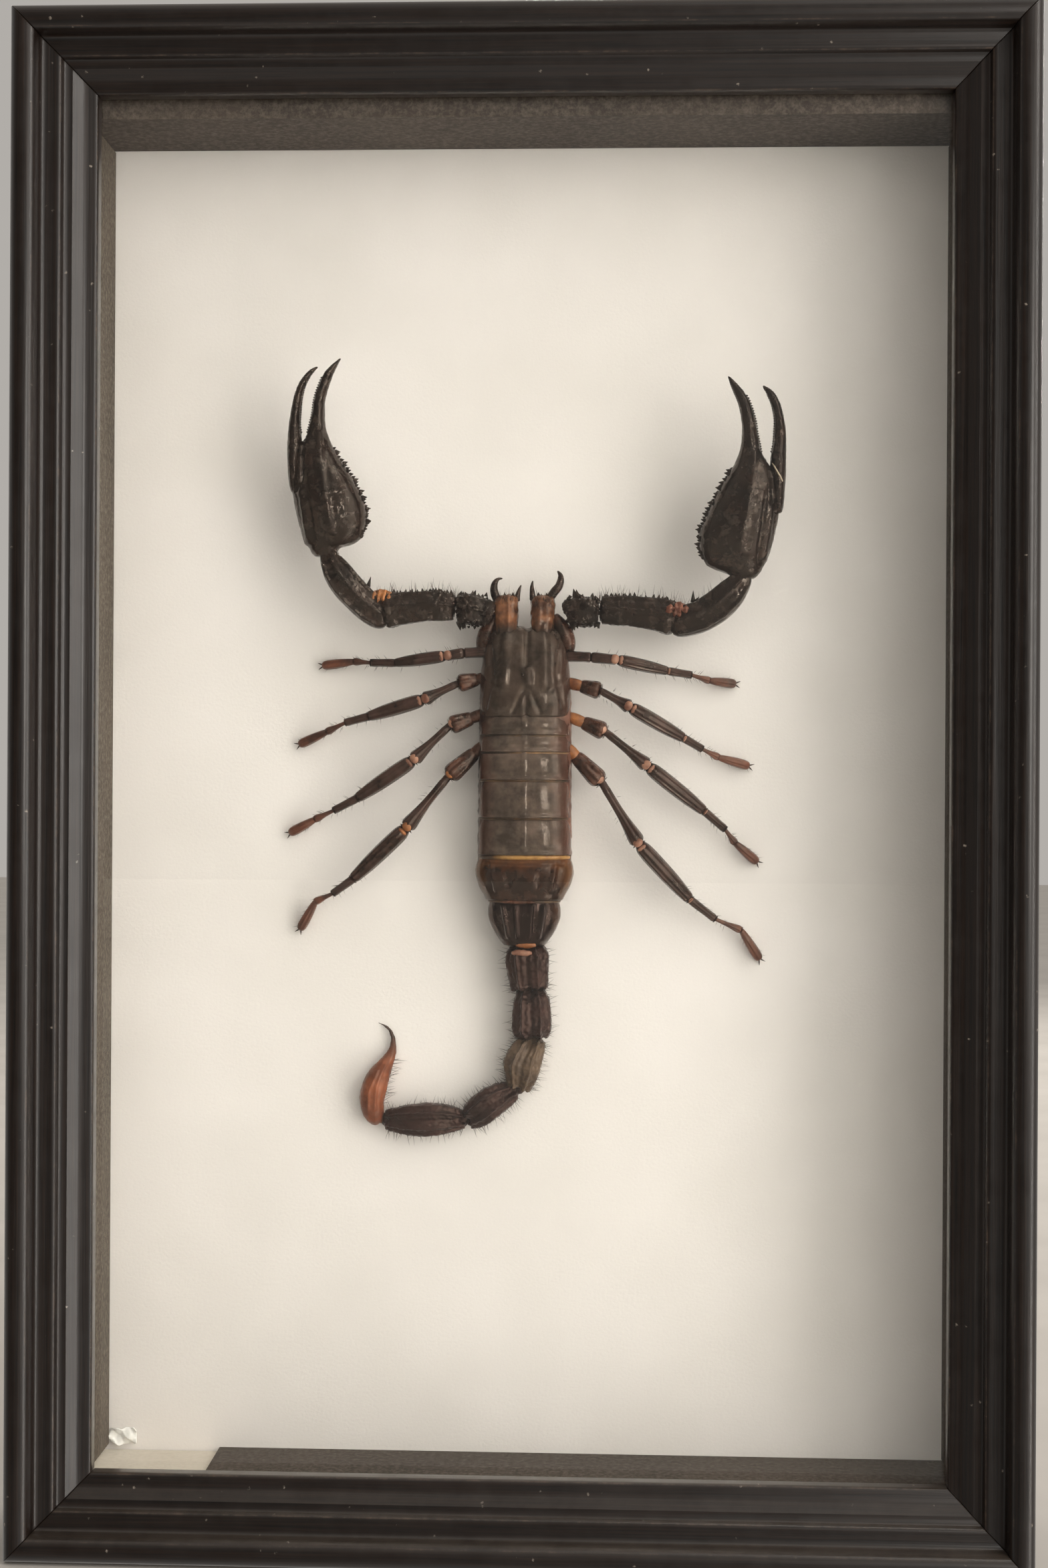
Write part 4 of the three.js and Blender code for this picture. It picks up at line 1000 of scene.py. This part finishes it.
# %% Rows of the tail
# Rows are x, z and half width, from the body to the tip.
TAIL = [
    [(0.4, 121, 2.2), (0.5, 118.9, 3.0), (0.6, 118.1, 3.8), (0.75, 116.8, 4.25), (0.95, 113.6, 3.95),
     (1.2, 111.2, 3.65), (1.25, 110.6, 3.55), (1.28, 110.3, 3.2), (1.3, 110.2, 2.2)],
    [(1.45, 110.6, 2.0), (1.45, 109.9, 2.5), (1.5, 109.2, 2.75), (1.7, 107.6, 3.45), (1.75, 105, 3.7),
     (1.75, 102.4, 3.8), (1.8, 101.4, 3.6), (2.1, 100.6, 3.0), (2.3, 100.1, 2.5), (2.4, 99.9, 1.6)],
    [(2.1, 100.3, 1.7), (1.95, 99.5, 2.25), (1.4, 98.4, 2.9), (0.4, 96.4, 3.4), (-0.3, 94.2, 3.6),
     (-0.55, 92.2, 3.1), (-0.75, 90.6, 2.5), (-0.95, 89.6, 2.1), (-1.0, 89.4, 1.5)],
    [(-1.4, 89.7, 1.3), (-2.4, 88.9, 1.8), (-4.3, 88, 2.5), (-6.6, 86.6, 2.9), (-9, 84.8, 2.9),
     (-10.5, 83.6, 2.4), (-11.4, 82.8, 1.7), (-11.7, 82.7, 1.1)],
    [(-11.4, 82.8, 1.0), (-12.4, 82.75, 1.5), (-14, 82.9, 2.15), (-16.5, 83.05, 2.8), (-20, 82.9, 3.15),
     (-24, 82.75, 2.75), (-26.8, 82.6, 2.1), (-28.3, 82.6, 1.7), (-29.3, 82.7, 1.2)],
]
STING = [(-30.5, 82.0, 0.9), (-30.75, 82.7, 1.6), (-31.05, 84.2, 2.3), (-31.4, 86.75, 2.6),
         (-30.85, 89.5, 2.65), (-29.95, 91.9, 2.35), (-28.6, 94.2, 1.55), (-27.5, 96.4, 0.98),
         (-27.2, 98.5, 0.55), (-27.6, 100.4, 0.36), (-28.7, 101.7, 0.24), (-30.4, 102.5, 0.08)]
print("tail rings:", len(TAIL), "sting rows:", len(STING))

# %% Tail segments
tail = []
for k, rows in enumerate(TAIL):
    finish = pale_tail_shell if k == 2 else tail_shell
    path = np.array([row[:2] for row in rows[1:-1]])
    run = path[-1] - path[0]
    ring = loft(f"tail_{k + 1}", fair([(x, z, half + 0.5, half, half * 0.95) for x, z, half in rows]), finish,
                sides=32, box=0.72, square=(run[0], 0, run[1]))
    across_run = np.array([-run[1], run[0]]) / np.linalg.norm(run)
    halves = np.array([row[2] for row in rows[1:-1]])
    for share in (-0.95, -0.5, 0.5, 0.95):
        stroke(ring, list(path + across_run * (share * halves)[:, None]), 0.5, 0.42)
    stroke(ring, list(path), 0.8, -0.4)
    granulate(ring, 0.75, 0.34)
    tail.append(ring)
    x, z, half = rows[-1]
    dx, dz = run * 0.12
    skin = [(x - dx, z - dz, half + 0.4, half * 0.7, half * 0.7),
            (x, z, half + 0.5, half * 0.92, half * 0.92),
            (x + dx, z + dz, half + 0.4, half * 0.7, half * 0.7)]
    tail.append(loft(f"tail_joint_{k + 1}", skin, joint_skin if k == 4 else tail_shell, sides=20))
    for x, z, half in fair(rows[1:-1], 3):
        for way in (-1, 1):
            out_x, out_z = way * across_run
            for _ in range(2 if k > 1 else 1):
                foot = (x + out_x * half * 0.95, z + out_z * half * 0.95, half + 0.5 + draw.uniform(-1, 1))
                aim = (out_x + draw.uniform(-0.5, 0.5), out_z + draw.uniform(-0.5, 0.5),
                       draw.uniform(-0.1, 0.6))
                tail.append(thorn(bristle, *foot, aim, draw.uniform(1.0, 2.8), 0.12))
print("tail pieces so far:", len(tail))

# %% Sting and the skin at the tail's root
bulb = loft("sting", fair([(x, z, half + 0.5, half, half) for x, z, half in STING]), sting_shell, sides=24)
stroke(bulb, [(-30.6, 85), (-30.2, 90), (-28.6, 94)], 0.5, 0.2)
stroke(bulb, [(-31.9, 85), (-31.8, 89), (-30, 93)], 0.5, 0.2)
granulate(bulb, 0.9, 0.16)
tail.append(bulb)
bulb_x, bulb_z, bulb_half = zip(*STING[1:8])
for _ in range(26):
    z = draw.uniform(86, 96)
    x, half = np.interp(z, bulb_z, bulb_x), np.interp(z, bulb_z, bulb_half)
    aim = (1, draw.uniform(-0.3, 0.7), draw.uniform(0, 0.5))
    tail.append(thorn(bristle, x + half * 0.9, z, half + 0.8, aim, draw.uniform(1.5, 3.4), 0.11))
fold = [(-2.2, 0.25, 0.3), (-1.6, 0.6, 0.6), (0, 0.72, 0.75), (1.6, 0.65, 0.65), (2.2, 0.25, 0.3)]
for x, z, lift, finish in ((0.55, 119.5, 7.7, joint_skin), (-0.25, 117.9, 8.2, pink_skin)):
    fold_rows = [(x + dx, z, lift, half, tall) for dx, half, tall in fold]
    knuckle = loft("tail_root_skin", fold_rows, finish, sides=16)
    granulate(knuckle, 0.8, 0.2)
    tail.append(knuckle)
ride(gather("tail_shell", tail), "shell", "scorpion_tail")

# %% [markdown]
# ## Legs
# Eight legs of six pieces each. The pieces are the same on every leg apart from their length and girth, so
# each is lofted once, ten millimetres long and one millimetre in half width, and copied between the joints.
# Most pieces flare into a cup at their far end, where a pink or orange membrane shows.

# %% Leg pieces, modelled once
# Rows are a share of the piece's length and a share of its half width.
MASTER_LENGTH = 10
LEG_PIECES = {
    "hip": (hip_shell, [(-0.1, 0.66), (0.1, 0.78), (0.4, 0.88), (0.7, 1.0), (0.9, 1.0), (0.99, 0.8),
                        (0.97, 0.5)]),
    "femur": (leg_shell, [(-0.08, 0.35), (-0.02, 0.5), (0.1, 0.52), (0.3, 0.5), (0.5, 0.56), (0.7, 0.76),
                          (0.86, 0.96), (0.95, 1.04), (1.0, 0.96), (0.97, 0.6)]),
    "patella": (leg_shell, [(-0.02, 0.4), (0.01, 0.7), (0.07, 0.92), (0.18, 1.0), (0.5, 1.0),
                            (0.76, 0.9), (0.9, 0.74), (0.96, 0.74), (1.0, 0.66), (0.98, 0.4)]),
    "tibia": (leg_shell, [(-0.06, 0.5), (0.0, 0.78), (0.12, 0.86), (0.45, 0.8), (0.8, 0.76),
                          (0.94, 0.86), (1.0, 0.78), (0.97, 0.5)]),
    "tarsus": (foot_shell, [(-0.06, 0.4), (0.0, 0.5), (0.25, 0.48), (0.5, 0.6), (0.8, 0.95),
                            (0.95, 1.05), (1.0, 0.9), (0.97, 0.6)]),
    "foot": (foot_shell, [(-0.04, 0.45), (0.04, 0.64), (0.3, 0.86), (0.6, 1.0), (0.86, 1.02),
                          (0.97, 0.78), (1.0, 0.3)]),
}
FOLD = ((-0.5, 0.3), (-0.35, 0.8), (0, 1), (0.35, 0.8), (0.5, 0.3))


def master_rows(rows):
    """Shares of length and half width as rows for a loft that stands at the origin."""
    return [(0, t * MASTER_LENGTH, CARD_FRONT, wide, wide) for t, wide in rows]


masters = {}
for name, (finish, rows) in LEG_PIECES.items():
    box = 0.8 if name == "patella" else 0.9
    masters[name] = loft("leg_" + name, master_rows(rows), finish, sides=16, box=box, square=UP)
    for share in (-0.6, 0.05, 0.62):
        stroke(masters[name], [(share * wide, t * MASTER_LENGTH) for t, wide in rows[2:-2]], 0.26, 0.14)
for name, finish in (("orange", joint_skin), ("pink", pink_skin), ("dark", hip_shell)):
    masters[name] = loft("leg_skin_" + name, master_rows(FOLD), finish, sides=12, levels=1, square=UP)
toe_claw = spike("toe_claw", 6, (0.5, 0.42, 0.3, 0.1), fang_shell)
print("leg masters:", list(masters))

# %% Places of the legs' joints
# Each leg is the x and z of its seven joints, from the body to the toe. Lifts over the card are shared.
LEGS = {
    "left_1": [(-7.6, 179.6), (-12.6, 179.3), (-16.3, 178.7), (-26.9, 177.3), (-32.0, 177.4),
               (-35.6, 177.7), (-42.5, 176.9)],
    "left_2": [(-9.8, 173.9), (-13.8, 173), (-20.8, 169.7), (-32.4, 166.2), (-37.2, 165), (-41.2, 163.1),
               (-47.3, 160.4)],
    "left_3": [(-11.0, 165.9), (-15.4, 164.3), (-22.9, 157.2), (-34.6, 149.3), (-39.5, 146.8),
               (-43.6, 144.9), (-49.2, 141.9)],
    "left_4": [(-10.4, 158.6), (-15.7, 153.8), (-24.3, 143.2), (-35.4, 132.6), (-39.6, 129.6),
               (-43.4, 127.8), (-46.9, 121.8)],
    "right_1": [(8, 178.8), (13.8, 178.5), (19, 178), (29.5, 175.8), (34.2, 175.1), (38, 174), (43.5, 173.4)],
    "right_2": [(11.7, 172.6), (15.7, 171.6), (21.7, 168.3), (32.8, 162), (36.5, 159.9), (39.9, 158.2),
                (46.4, 156.4)],
    "right_3": [(12.2, 165.1), (16.7, 163.2), (25.4, 156.2), (37.1, 147), (41.3, 143.4), (43.4, 140.6),
                (48.2, 136.5)],
    "right_4": [(10.8, 158), (16, 152.8), (23.7, 140.2), (34.2, 128.9), (39.4, 124.9), (44.8, 122.6),
                (48.8, 116.4)],
}
LEG_LIFTS = [6.4, 6.9, 6.9, 5.3, 4.0, 2.9, 1.1]
GIRTHS = {"hip": 2.0, "femur": 1.6, "patella": 1.65, "tibia": 1.08, "tarsus": 0.85, "foot": 1.04}
STOUT = {"1": 0.82, "2": 0.94, "3": 0.98, "4": 1.04}


def between(start, end, girth, depth=None):
    """The matrix that takes a leg master to its place between two joints."""
    path = (end - start).normalized()
    back = (Vector((0, 1, 0)) - path * path.y).normalized()
    turn = Matrix((back.cross(path), back, path)).transposed().to_4x4()
    size = Matrix.Diagonal((girth, depth or girth * 1.1, (end - start).length / (MASTER_LENGTH * MM), 1))
    return Matrix.Translation(start) @ turn @ size


print("legs:", list(LEGS))


# %% Lay the pieces out as eight legs
for label, places in LEGS.items():
    joints = [spot(x, z, lift) for (x, z), lift in zip(places, LEG_LIFTS)]
    stout = STOUT[label[-1]]
    pieces = []
    for k, (part, girth) in enumerate(GIRTHS.items()):
        # The first leg goes out to its knee as one even tube.
        shape, girth = ("tibia", 1.7) if label.endswith("1") and k < 2 else (part, girth)
        girth *= stout if k < 3 else 1
        pieces.append(copy_at(masters[shape], between(joints[k], joints[k + 1], girth)))
    # Membranes lie at the joints: joint, shift along the leg, height, length, half width, half depth
    # and colour.
    knee = "orange" if label == "left_4" else "pink"
    folds = [(2, -0.5, 1.4, 1.7, 1.15, 0.62, knee), (2, 0.85, 1.25, 0.9, 1.1, 0.55, knee)]
    if label.startswith("right"):
        folds.append((3, 0.1, 0.75, 0.6, 0.75, 0.4, "pink"))
    if not label.endswith("1"):
        folds.append((0, -1.5, 0.4, 5.6, 1.4, 1.4, "orange" if label.startswith("right") else "dark"))
    if label.endswith(("3", "4")):
        folds.append((1, -0.9, 1.35, 1.8, 1.1, 0.6, "orange" if label == "left_4" else "pink"))
    for k, shift, proud, length, wide, deep, colour in folds:
        path = (joints[k + 1] - joints[max(k - 1, 0)]).normalized() * MM
        centre = joints[k] + path * shift + Vector((0, -proud * stout * MM, 0))
        pieces.append(copy_at(masters[colour], between(centre, centre + path * length, wide, deep)))
    toe, foot = joints[6], joints[5]
    path = (toe - foot).normalized()
    across_path = path.cross(Vector((0, -1, 0)))
    x, lift, z = toe.x / MM, CARD_FRONT - toe.y / MM, toe.z / MM
    for way in (-1, 1):
        aim = path + across_path * way * 0.55
        root = (x - path.x * 0.4, z - path.z * 0.4, lift)
        pieces.append(thorn(toe_claw, *root, (aim.x, aim.z, -0.25), 1.5, 0.42))
    for a, b, girth in zip(joints[1:], joints[2:], (1.7, 1.7, 1.2, 0.9, 0.9)):
        for _ in range(7):
            at = a.lerp(b, draw.uniform(0.1, 0.95))
            way = draw.choice((-1, 1))
            off = across_path.normalized() * way * girth * 0.7 * MM
            root = ((at.x + off.x) / MM, (at.z + off.z) / MM, CARD_FRONT - at.y / MM + 0.3)
            aim = (off.x * 900 + path.x * 0.5, off.z * 900 + path.z * 0.5, draw.uniform(0, 0.5))
            pieces.append(thorn(bristle, *root, aim, draw.uniform(0.6, 1.3), 0.11))
    ride(gather(f"leg_{label}_shell", pieces), "shell", "scorpion_leg_" + label)

# %% [markdown]
# ## Torn paper in the corner
# The lower lining is torn short, so the pale floor of the box shows, and a white scrap of paper clings to
# the card above it. The scrap is a crumpled sheet: a grid pulled out of true by noise.

# %% A scrap of white paper
white_scrap = paper("white_torn_paper", "#efece6", "#fbfaf7", 0.4)
begin()
bpy.ops.mesh.primitive_grid_add(x_subdivisions=28, y_subdivisions=16, size=1)
scrap = bpy.context.object
scrap.name = "torn_scrap"
for corner in scrap.data.vertices:
    u, v = corner.co.x, corner.co.y
    ragged = 0.16 * math.sin(9 * u + 2) * math.cos(7 * v) + 0.12 * math.sin(23 * u + 11 * v)
    shrink = 1 - 0.9 * max(0, abs(u) * 2 - 0.55) ** 1.5
    curl = 0.6 * math.sin(8 * u) * math.cos(6 * v)
    corner.co = spot(-83.6 + 5.8 * u, 15.4 + (3.4 * v * shrink) + ragged, 1.0 + curl)
scrap.data.materials.append(white_scrap)
apply_modifier(scrap, "SOLIDIFY", thickness=0.25 * MM)
apply_modifier(scrap, "SUBSURF", levels=1, render_levels=1)
bpy.ops.object.shade_smooth()
ride(scrap, "card")

# %% [markdown]
# ## Finish
# The masters were only patterns for their copies, so they go.

# %% Clear away the masters
for master in [tubercle, bristle, toe_claw, *masters.values()]:
    bpy.data.objects.remove(master, do_unlink=True)
